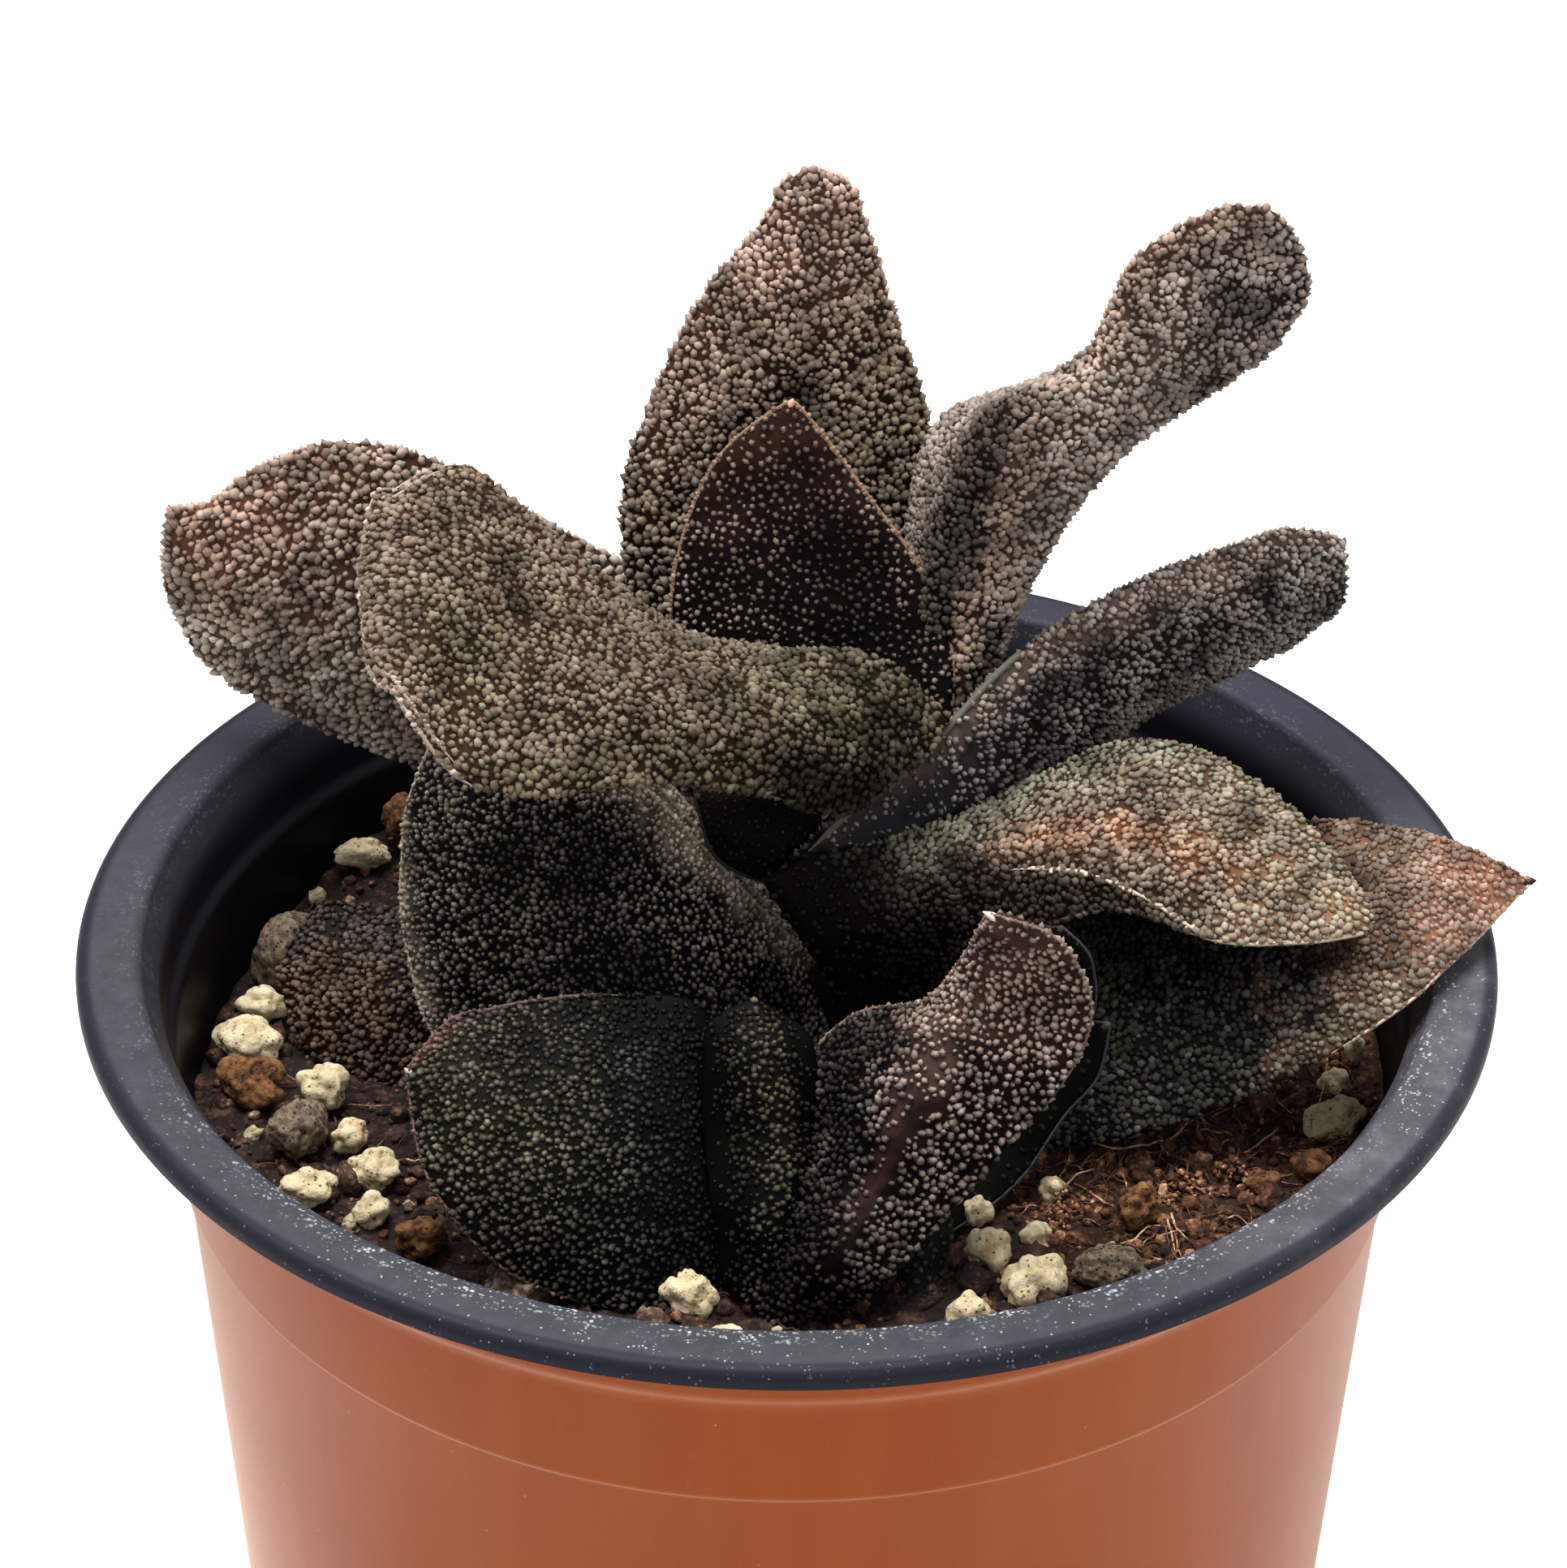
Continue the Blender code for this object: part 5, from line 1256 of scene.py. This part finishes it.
def leaf_paint(name, look):
    """Pale warts on a dark skin. Marks: red is the height on a wart, green its tone, blue the
    share of the leaf's length, alpha 1 on a margin or the tip's point. Patches: red and green
    the amounts of the two tints, blue the amount of painted shade."""
    paint = Paint(name, 0.6, 0.05)
    rise, tone, share, edge = paint.stored("marks")
    first, second, dark, _ = paint.stored("patches")
    drift = paint.math("ADD", share, paint.part(paint.noise(6.0), 0.3, 0.7, -0.1, 0.1))
    shares = (0.12, 0.55, 0.95)
    skin, wart = (paint.ramp(drift, list(zip(shares, look[key]))) for key in ("skin", "wart"))
    ragged = paint.part(paint.noise(2.4, 4.0), 0.3, 0.7, 0.4, 1.5)
    for amount, (tint_skin, tint_wart) in zip((first, second), look.get("tints", [])):
        amount = paint.math("MINIMUM", paint.times(amount, ragged), 1.0)
        skin = paint.mix(amount, skin, tint_skin)
        wart = paint.mix(amount, wart, tint_wart)
    wart = paint.toned(paint.part(tone, 0.0, 1.0, 0.55, 0.0), wart, (150, 132, 118))
    # Painted glints: warts of high tone are lightened a little towards white.
    pale = paint.mix(0.45, wart, (250, 246, 238))
    wart = paint.mix(paint.part(tone, 0.76, 0.9, 0.0, 0.12), wart, pale)
    # Painted shade: the dark patches and soft noise shadows darken the warts and the skin.
    shadow = paint.part(paint.noise(3.0, 3.0), 0.34, 0.6, 0.6, 0.0)
    dark = paint.math("MINIMUM", paint.math("ADD", dark, shadow), 1.0)
    wart = paint.toned(dark, wart, (124, 124, 124))
    skin = paint.toned(dark, skin, (150, 150, 150))
    flank, mucro = look["flank"], look["mucro"]
    sides = paint.part(rise, 0.12, 0.75, 0.0, flank)
    climb = paint.math("ADD", sides, paint.part(rise, 0.75, 1.0, 0.0, 1.0 - flank))
    margin = shade(look.get("margin", mucro))
    border = paint.toned(paint.part(tone, 0.1, 0.9, 0.6, 0.0), margin, (150, 130, 116))
    border = paint.mix(paint.part(tone, 0.99, 1.0), border, mucro)
    body = paint.mix(paint.part(edge, 0.3, 0.7), paint.mix(climb, skin, wart), border)
    paint.bump(paint.noise(0.16, 2.0), 0.02, 0.4)
    return paint.colour(body)


def soft_spot(shares, across, share, place, share_reach, reach, strength):
    """How strong a spot on a leaf is at each place."""
    away = ((shares - share) / share_reach) ** 2 + ((across - place) / reach) ** 2
    return strength * np.exp(-away)


def patch_amounts(look, shares, across, front):
    """Rows of the patches' amounts for places on a leaf: two tints, painted shade, and 0."""
    amounts = np.zeros((len(shares), 4))
    for channel, *spot in look.get("patches", []):
        amounts[:, channel] += soft_spot(shares, across, *spot) * front
    return np.clip(amounts, 0.0, 1.0)


def marks_for(height, tone, share, edge):
    return np.stack(np.broadcast_arrays(np.asarray(height, float), tone, share, edge), axis=-1)


def add_warts(pile, leaf, side, gap, tip_gap, rng, kept):
    """Warts on the front or the back: rounded ones, and cones where they are small."""
    look = leaf.look
    columns = leaf.columns(side)
    spots = leaf.spots(gap, tip_gap, side, rng)
    places, normals, ahead = (
        leaf.sample(values, spots[:, 0], spots[:, 1], columns)
        for values in (leaf.rings, leaf.normals, leaf.ahead)
    )
    shares = np.interp(spots[:, 0], np.arange(len(leaf.shares)), leaf.shares)
    across = -np.cos(math.pi * spots[:, 1] / HALF)
    thin = np.zeros(len(spots))
    for spot in look.get("bald", []):
        thin += soft_spot(shares, across, *spot)
    good = kept(places) & (rng.uniform(size=len(spots)) > thin)
    places, normals, ahead, shares, across, spots, thin = (
        values[good] for values in (places, normals, ahead, shares, across, spots, thin)
    )
    radii = spots[:, 2] * look["size"] * rng.uniform(0.7, 1.25, len(places)) * (1 - 0.4 * thin)
    heights = np.minimum(look["rise"], radii * 1.5) * rng.uniform(0.75, 1.2, len(places))
    round_ones = (radii > np.quantile(radii, POINTED_SHARE)) & side
    for chosen, rounded in ((round_ones, True), (~round_ones, False)):
        if not chosen.any():
            continue
        points, faces, rise = warts(
            places[chosen], normals[chosen], radii[chosen], heights[chosen], rng, rounded,
            WART_LEAN * ahead[chosen],
        )
        count = int(chosen.sum())
        tones, spans, spread = (
            np.repeat(values, len(rise) // count)
            for values in (rng.uniform(0, 0.9, count), shares[chosen], across[chosen])
        )
        amounts = patch_amounts(look, spans, spread, float(side))
        pile.add(points, faces, marks_for(rise, tones, spans, 0.0), amounts)


def add_line(pile, path, outward, bead, beaded, rng, kept):
    """A smooth line along a margin or ridge, or one set with beads."""
    good = kept(path)
    if good.sum() <= SHORTEST_LINE:
        return
    path, outward = path[int(np.argmax(good)):], outward[int(np.argmax(good)):]
    fade = np.clip((np.arange(len(path)) + 1) / FADE_STEPS, 0.3, 1.0)
    points, faces = tube(path + outward * 0.4 * bead, (0.62 * bead if beaded else bead) * fade)
    pile.add(points, faces, (0.0, 0.5 if beaded else 0.95, 1.0, 1.0))
    if not beaded:
        return
    every = np.cumsum(rng.uniform(1.2, 2.2, len(path)) * bead / MARGIN_PITCH).astype(int)
    every = every[every < len(path)]
    radii = bead * rng.uniform(0.7, 1.35, len(every)) * fade[every]
    spread = path[every] + rng.normal(size=(len(every), 3)) * 0.3 * bead
    points, faces, rise = warts(spread, outward[every], radii, radii * 1.3, rng, True)
    tones = np.repeat(rng.uniform(0, 0.9, len(every)), len(rise) // len(every))
    pile.add(points, faces, marks_for(rise, tones, 1.0, 1.0))


def make_leaf(leaf, skins, seed):
    """The cut skin of a leaf with its warts, margins and the point at its tip, in one piece."""
    look = leaf.look
    rng = np.random.default_rng(seed)
    points, faces = leaf.solid()
    low, high = points.min(axis=0), points.max(axis=0)
    near = [
        plain_mesh(*skin) for skin in skins
        if np.all(skin[0].min(axis=0) < high) and np.all(low < skin[0].max(axis=0))
    ]
    cut_points, cut_faces = largest_piece(*arrays(less(plain_mesh(points, faces), near)))
    surface = BVHTree.FromPolygons(cut_points.tolist(), cut_faces.tolist())
    whole = BVHTree.FromPolygons(points.tolist(), faces.tolist())
    last = len(leaf.shares) * AROUND - 1
    nearest = [whole.find_nearest(Vector(point))[2] for point in cut_points]
    corner = np.minimum(faces[nearest, 0], last)
    turn = corner % AROUND
    shares = leaf.shares[corner // AROUND]
    front = turn <= HALF
    across = np.where(front, -np.cos(math.pi * turn / HALF), np.cos(math.pi * (turn - HALF) / HALF))
    pile = Pile()
    amounts = patch_amounts(look, shares, across, front.astype(float))
    pile.add(cut_points, cut_faces, marks_for(0.0, 0.5, shares, 0.0), amounts)

    def kept(places):
        found = [surface.find_nearest(Vector(place), ON_SURFACE)[0] for place in places]
        return np.array([place is not None for place in found])

    gap, tip_gap, back_gap = look["gaps"]
    add_warts(pile, leaf, True, gap, tip_gap, rng, kept)
    add_warts(pile, leaf, False, back_gap, back_gap, rng, kept)
    for key, beaded in (("margins", True), ("smooth", False)):
        for *part, bead in look.get(key, []):
            add_line(pile, *leaf.margin(*part), bead, beaded, rng, kept)
    for bead, stops in look.get("ridges", []):
        add_line(pile, *leaf.route(np.array(stops)), bead, True, rng, kept)
    ahead = leaf.tip - leaf.rings[-3].mean(axis=0)
    ahead /= np.linalg.norm(ahead)
    length = look["point"]
    steps = np.linspace(POINT_ROOT, length, 6)
    widths = POINT_RADIUS * np.clip(1.02 - np.clip(steps, 0, None) / length, 0.06, 1.0) ** 0.8
    points, faces = tube([leaf.tip + ahead * step for step in steps], widths, 8)
    pile.add(points, faces, (0.0, 1.0, 1.0, 1.0))
    thing = pile.build(leaf.name + "_warty", leaf_paint(leaf.name + "_skin", look))
    finish_piece(thing, "offset_leaf" if leaf.name.startswith("offset") else "leaf", leaf.name)


def make_leaves():
    """Each leaf in turn, cut back where an earlier one stands in its way."""
    skins = []
    for index, name in enumerate(LEAVES):
        leaf = Leaf(name)
        make_leaf(leaf, skins, index + 1)
        skins.append(leaf.solid(CLEARANCE))


# Soil

def soil_height(x, y):
    """Height of the soil's surface at a place, all in millimetres."""
    rough = noise.noise(Vector((x / SOIL_GRAIN, y / SOIL_GRAIN, 1.7)))
    broad = noise.noise(Vector((x / BROAD_SIZE, y / BROAD_SIZE, 8.1)))
    away = math.hypot(x - HEAP_PLACE[0], y - HEAP_PLACE[1]) / HEAP_SPREAD
    heap = HEAP_HEIGHT * math.exp(-away * away)
    return SOIL_LEVEL + SOIL_TILT * x + SOIL_RELIEF * rough + BROAD_RELIEF * broad + heap


def soil_top(x, y):
    """The soil's height with clods and grain."""
    clods = abs(noise.noise(Vector((x / CLOD_SIZE, y / CLOD_SIZE, 3.3))))
    grain = noise.noise(Vector((x / FINE_SIZE, y / FINE_SIZE, 5.9)))
    return soil_height(x, y) + CLOD_RELIEF * clods + FINE_RELIEF * grain - SOIL_DROP


def rustiness(x, y):
    """0 in the dark soil on the left to 1 in the peat on the right."""
    drift = noise.noise(Vector((x / PEAT_SIZE, y / PEAT_SIZE, 2.4)))
    return min(1.0, max(0.0, (x - PEAT_START) / PEAT_SPAN + 0.9 * drift + 0.15))


def soil_paint():
    """Marks: red is the tone, green how rusty, blue 1 on pale grit."""
    paint = Paint("potting_soil", 0.9, 0.25)
    tone, rust, grit, _ = paint.stored("marks")
    cloud = paint.noise(1.3, 4.0, 0.65)
    tone = paint.math("ADD", tone, paint.part(cloud, 0.3, 0.7, -0.24, 0.3))
    tone = paint.math("ADD", tone, paint.part(paint.cells(0.55), 0.0, 0.55, 0.14, -0.2))
    dark, rusty = (
        paint.ramp(tone, list(zip((0.0, 0.45, 0.8, 1.0), colours))) for colours in (
            ((28, 17, 13), (78, 55, 44), (134, 105, 85), (174, 149, 124)),
            ((40, 21, 13), (106, 68, 48), (172, 124, 88), (226, 188, 150)),
        )
    )
    pale = paint.ramp(cloud, [(0.3, (150, 136, 100)), (0.7, (206, 194, 158))])
    base = paint.mix(grit, paint.mix(rust, dark, rusty), pale)
    paint.bump(paint.math("SUBTRACT", paint.noise(0.6, 5.0, 0.75), paint.cells(0.55)), 0.3)
    return paint.colour(base)


def make_soil_surface(paint):
    brim = wall_radius(SOIL_LEVEL) - SHEET - WALL_GAP
    turns = np.arange(SOIL_SIDES) * 2 * math.pi / SOIL_SIDES
    points, tones = [], []
    for radius in np.linspace(brim / SOIL_RINGS, brim, SOIL_RINGS):
        for turn in turns:
            x, y = radius * math.cos(turn), radius * math.sin(turn)
            z = soil_top(x, y)
            points.append((x, y, z))
            tones.append((0.16 + 0.5 * (z - soil_height(x, y)), rustiness(x, y), 0.0, 0.0))
    for radius, height in wall_line(SHEET + WALL_GAP)[-6:]:
        for turn in turns:
            points.append((radius * math.cos(turn), radius * math.sin(turn), height))
            tones.append((0.1, 0.3, 0.0, 0.0))
    faces = shell(len(points) // SOIL_SIDES, SOIL_SIDES)[:, ::-1]
    points += [(0.0, 0.0, soil_top(0.0, 0.0)), (0.0, 0.0, SHEET + WALL_GAP)]
    tones += [(0.2, 0.3, 0.0, 0.0)] * 2
    finish_piece(mesh_object("soil_surface", points, faces, paint, tones), "soil", "soil")


def ball(detail):
    """Points and triangles of a sphere of radius 1."""
    shape = bmesh.new()
    bmesh.ops.create_icosphere(shape, subdivisions=detail, radius=1.0)
    points = np.array([corner.co[:] for corner in shape.verts])
    faces = np.array([[corner.index for corner in face.verts] for face in shape.faces])
    shape.free()
    return points, faces


def random_turns(rng, count):
    """Rotation matrices spread evenly."""
    turns = rng.normal(size=(count, 4)).T
    w, x, y, z = turns / np.sqrt((turns * turns).sum(axis=0))
    return np.array([
        [1 - 2 * (y * y + z * z), 2 * (x * y - z * w), 2 * (x * z + y * w)],
        [2 * (x * y + z * w), 1 - 2 * (x * x + z * z), 2 * (y * z - x * w)],
        [2 * (x * z - y * w), 2 * (y * z + x * w), 1 - 2 * (x * x + y * y)],
    ]).transpose(2, 0, 1)


def add_crumbs(pile, rng, count, smallest, largest, detail, grit_share):
    """Rough crumbs strewn on the soil, sunk by a third of their size."""
    base, faces = ball(detail)
    size = smallest * (largest / smallest) ** (rng.uniform(size=count) ** 1.6)
    radius = (wall_radius(SOIL_LEVEL) - SHEET - size) * np.sqrt(rng.uniform(0.12, 1.0, count))
    turn = rng.uniform(0, 2 * math.pi, count)
    x, y = radius * np.cos(turn), radius * np.sin(turn)
    z = np.array([soil_top(*place) for place in zip(x, y)]) + size * rng.uniform(0.1, 0.4, count)
    rough = rng.uniform(0.68, 1.28, (count, len(base), 1))
    shape = base[None] * rough * rng.uniform(0.6, 1.15, (count, 1, 3)) * size[:, None, None]
    shape = np.einsum("nij,npj->npi", random_turns(rng, count), shape)
    shape += np.stack([x, y, z], 1)[:, None]
    rust = np.array([rustiness(*place) for place in zip(x, y)]) * rng.uniform(0.3, 1.3, count)
    rust += 0.8 * (rng.uniform(size=count) < RUSTY_SHARE)
    tone = rng.beta(2.4, 3.0, count)
    grit = (rng.uniform(size=count) < grit_share).astype(float)
    marks = np.stack([tone, np.clip(rust, 0, 1), grit, np.zeros(count)], 1)
    faces = faces[None] + (np.arange(count) * len(base))[:, None, None]
    pile.add(shape.reshape(-1, 3), faces.reshape(-1, 3), np.repeat(marks, len(base), axis=0))


def add_fibres(pile, rng):
    """Bits of root and stalk lying on the soil, most of them in the peat."""
    reach = wall_radius(SOIL_LEVEL) - SHEET - 1.5
    steps = len(FIBRE_TAPER) - 1
    for _ in range(FIBRES):
        in_peat = rng.uniform() < FIBRES_IN_PEAT
        spread = rng.uniform(-0.75, 0.75) if in_peat else rng.uniform(0, 2 * math.pi)
        radius = reach * math.sqrt(rng.uniform(0.2, 1.0))
        heading = rng.uniform(0, 2 * math.pi)
        length, bend = rng.uniform(1.2, 5.0), rng.normal() * 0.9
        place = np.array([radius * math.cos(spread), radius * math.sin(spread)])
        path = []
        for step in range(len(FIBRE_TAPER)):
            x, y = place
            lift = 0.16 + 0.5 * math.sin(math.pi * step / steps) * rng.uniform(0.2, 0.6)
            path.append((x, y, soil_top(x, y) + lift))
            place = place + length / steps * np.array([math.cos(heading), math.sin(heading)])
            place *= min(1.0, reach / max(1e-6, float(np.hypot(*place))))
            heading += bend / steps
        points, faces = tube(path, rng.uniform(0.04, 0.13) * np.array(FIBRE_TAPER), 3)
        pile.add(points, faces, (rng.beta(2.2, 2.2), rng.uniform(0.4, 1.0), 0.0, 0.0))


def add_rootlets(pile):
    for route in ROOTLETS:
        route = np.array(route)
        knots = np.arange(len(route), dtype=float)
        path = smooth_values(knots, route, np.linspace(0, len(route) - 1, 4 * len(route)))
        heights = np.array([soil_top(x, y) for x, y in path])
        heights = 0.5 * heights + 0.5 * heights.max() + 0.25
        radii = ROOTLET_RADIUS * np.linspace(1.15, 0.6, len(path))
        points, faces = tube(np.column_stack([path, heights]), radii, 5)
        pile.add(points, faces, (1.0, 0.75, 0.25, 0.0))


def add_crumbly_lumps(pile, rng):
    """Clusters of orange grains where bark has broken up."""
    base, faces = ball(1)
    reach = wall_radius(SOIL_LEVEL) - SHEET - 0.5
    for place in CRUMBLY_PLACES:
        for _ in range(CRUMBLY_GRAINS):
            x, y = np.array(place) + rng.normal(size=2) * CRUMBLY_SPREAD
            x, y = np.array([x, y]) * min(1.0, reach / math.hypot(x, y))
            size = rng.uniform(0.1, 0.3)
            away = math.hypot(x - place[0], y - place[1])
            z = soil_top(x, y) + rng.uniform(0.1, 1.0) * max(0.2, 1.6 - away)
            shape = base * rng.uniform(0.7, 1.25, (len(base), 1)) * size + (x, y, z)
            pile.add(shape, faces, (rng.uniform(0.4, 0.9), 1.0, 0.0, 0.0))


def make_soil():
    rng = np.random.default_rng(SOIL_SEED)
    paint = soil_paint()
    make_soil_surface(paint)
    pile = Pile()
    for crumbs in CRUMBS:
        add_crumbs(pile, rng, *crumbs)
    finish_piece(pile.build("soil_crumbs", paint), "soil")
    pile = Pile()
    add_fibres(pile, rng)
    add_rootlets(pile)
    add_crumbly_lumps(pile, rng)
    finish_piece(pile.build("soil_fibres", paint), "soil")


# Stones

def stone_paint(kind):
    """Marks: red is how high a spot stands on its stone, green a tone for the whole stone."""
    colours, *_, few = STONE_LOOKS[kind]
    paint = Paint(kind, 0.92, 0.2)
    high, tone, _, _ = paint.stored("marks")
    height = paint.math("ADD", high, paint.part(paint.noise(0.5, 4.0, 0.7), 0.3, 0.7, -0.18, 0.18))
    # Painted shade and light: the hollows darker and the high spots paler, partly real colour.
    base = paint.ramp(height, list(zip((0.12, 0.42, 0.85), colours)))
    base = paint.mix(paint.part(tone, 0.0, 1.0, 0.0, 0.3), base, colours[1])
    stain = paint.part(paint.noise(2.2, 3.0), 0.55, 0.75, 0.0, 0.45)
    base = paint.toned(stain, base, (196, 160, 104))
    # Painted shade: small pores darkened where they are.
    some = paint.part(paint.noise(0.9, 2.0), few, few + 0.06)
    pores = paint.times(paint.part(paint.cells(0.42), 0.22, 0.3, 1.0, 0.0), some, 0.85)
    base = paint.toned(pores, base, (110, 92, 72))
    paint.bump(paint.math("SUBTRACT", paint.noise(0.3, 4.0, 0.75), paint.times(pores, 0.5)), 0.2)
    return paint.colour(base)


def make_stone(index, kind, place, size, paint):
    """The stone of the frame with lobes, grain and pores."""
    _, lobes, grit, pore, _ = STONE_LOOKS[kind]
    draw = random.Random(index)
    base, faces = ball(5 if max(size) > LARGE_STONE else 4)
    shift = Vector([draw.uniform(0, 50) for _ in range(3)])
    tilt = np.array(Euler([draw.uniform(-reach, reach) for reach in (0.3, 0.3, 0.6)]).to_matrix())
    points, marks = [], []
    tone = draw.random()
    scale = sum(size) / 3
    knobs = []
    for _ in range(KNOBS):
        knob = Vector([draw.gauss(0, 1) for _ in range(3)]).normalized()
        knobs.append((knob, draw.uniform(0.36, 0.5)))
    for corner in base:
        spot = Vector(corner) * 0.5
        real = Vector([along * length for along, length in zip(spot, size)]) + shift
        lump = STONE_ROUGHNESS * noise.noise(spot * 3.0 + shift)
        lobe = 0.78
        for knob, wide in knobs:
            near = KNOB_REACH * knob.dot(Vector(corner))
            under = wide * wide - KNOB_REACH * KNOB_REACH + near * near
            if near > 0.0 and under > 0.0:
                lobe = max(lobe, near + math.sqrt(under))
        lobe = lobes * (lobe - 1.0)
        fine = grit * noise.noise(real / 0.55) + 0.5 * grit * noise.noise(real / 0.25)
        hole = noise.voronoi(real / (pore * 7.0))[0][0]
        pit = max(0.0, 1.0 - hole / 0.2) ** 0.7
        stretch = 1.0 + lump + lobe + fine / scale * 2.0 - pit * pore / scale * 0.6
        points.append(tilt @ (np.array(spot) * stretch * size) + place)
        # How high a spot stands, which sets its painted shade and light; pits count lower.
        high = 0.72 + 1.2 * lobe + 2.0 * fine - 0.5 * pit
        marks.append((min(1.0, max(0.0, high)), tone, 0.0, 0.0))
    name = f"{kind}_{index + 1:02d}"
    finish_piece(mesh_object(name + "_fine", points, faces, paint, marks), kind, name)


def make_stones():
    paints = {kind: stone_paint(kind) for kind in STONE_LOOKS}
    for index, (kind, place, size) in enumerate(STONES):
        make_stone(index, kind, np.array(place), np.array(size), paints[kind])


# Stems and the dry flake

def make_stems():
    """Short stems, ringed where old leaves have come away."""
    paint = Paint("stem_skin", 0.8, 0.3)
    rings = paint.noise(1.2, 3.0, place=paint.stretched(0.25, 0.25, 1.0))
    tones = [(0.3, (34, 30, 20)), (0.5, (70, 62, 42)), (0.7, (120, 98, 70))]
    paint.colour(paint.ramp(rings, tones))
    paint.bump(rings, 0.2, 0.8)
    for name, stations in STEMS.items():
        stations = np.array(stations)
        knots = stations[:, 2] - stations[0, 2]
        places = np.arange(0.0, knots[-1], STEM_PITCH)
        path = smooth_values(knots, stations, places)
        scars = 1.0 - 0.06 * np.abs(np.sin(places * 1.9)) ** 3
        points, faces = tube(path[:, :3], path[:, 3] * scars, STEM_SIDES)
        for index, point in enumerate(points):
            points[index] = point + 0.12 * noise.noise(Vector(point) / 1.4)
        finish_piece(mesh_object(name + "_ringed", points, faces, paint.material), "stem", name)


def make_dry_flake():
    """The curled end of a withered leaf, standing between two leaves in the middle."""
    paint = Paint("dry_flake", 0.6, 0.4)
    paint.colour(paint.ramp(paint.noise(0.6, 3.0), [(0.3, (96, 88, 78)), (0.7, (196, 186, 170))]))
    path = smooth_values(np.arange(5.0), np.array(FLAKE_SPINE), np.linspace(0, 4, 17))
    points = [
        (x + half * across, y - half * over, z + 0.1 * half * across)
        for x, y, z, half in path for across, over in FLAKE_CUT
    ]
    points = np.array(points + [tuple(path[0, :3]), tuple(path[-1, :3])])
    thing = mesh_object("dry_flake", points, shell(len(path), len(FLAKE_CUT)), paint.material)
    finish_piece(thing, "leaf")


# Camera, floor and light

def make_camera():
    data = bpy.data.cameras.new("camera")
    data.lens = CAMERA_LENS
    data.sensor_width = 36.0
    data.sensor_fit = "HORIZONTAL"
    camera = placed("camera", data)
    turn = Matrix.Rotation(-math.radians(CAMERA_YAW), 4, "Z")
    tilt = Matrix.Rotation(math.radians(90.0 - CAMERA_PITCH), 4, "X")
    roll = Matrix.Rotation(math.radians(CAMERA_ROLL), 4, "Z")
    camera.matrix_world = Matrix.Translation(Vector(CAMERA_PLACE) * MM) @ turn @ tilt @ roll
    bpy.context.scene.camera = camera


def area_light(name, place, size, power):
    """A round lamp that shines on the middle of the plant."""
    data = bpy.data.lights.new(name, "AREA")
    data.shape = "DISK"
    data.size = size
    data.energy = power
    lamp = placed(name, data)
    lamp.location = place
    aim = Vector(LAMP_TARGET) - Vector(place)
    lamp.rotation_euler = aim.to_track_quat("-Z", "Y").to_euler()


def make_studio():
    world = bpy.data.worlds.new("studio")
    world.use_nodes = True
    background = world.node_tree.nodes["Background"]
    background.inputs["Color"].default_value = (1.0, 1.0, 1.0, 1.0)
    background.inputs["Strength"].default_value = WORLD_STRENGTH
    bpy.context.scene.world = world
    bpy.context.scene.view_settings.view_transform = "Standard"
    paint = Paint("floor", 0.8, 0.2)
    tones = [(0.3, (0.84, 0.84, 0.84, 1.0)), (0.7, (0.87, 0.87, 0.87, 1.0))]
    base = paint.ramp(paint.noise(60.0), tones)
    shape = bmesh.new()
    bmesh.ops.create_grid(shape, x_segments=2, y_segments=2, size=3.0)
    floor = placed("floor", mesh_of(shape))
    floor.data.materials.append(paint.colour(base))
    for name, (place, size, power) in LAMPS.items():
        area_light(name, place, size, power)


make_camera()
make_studio()
make_pot()
make_soil()
make_stones()
make_stems()
make_leaves()
make_dry_flake()
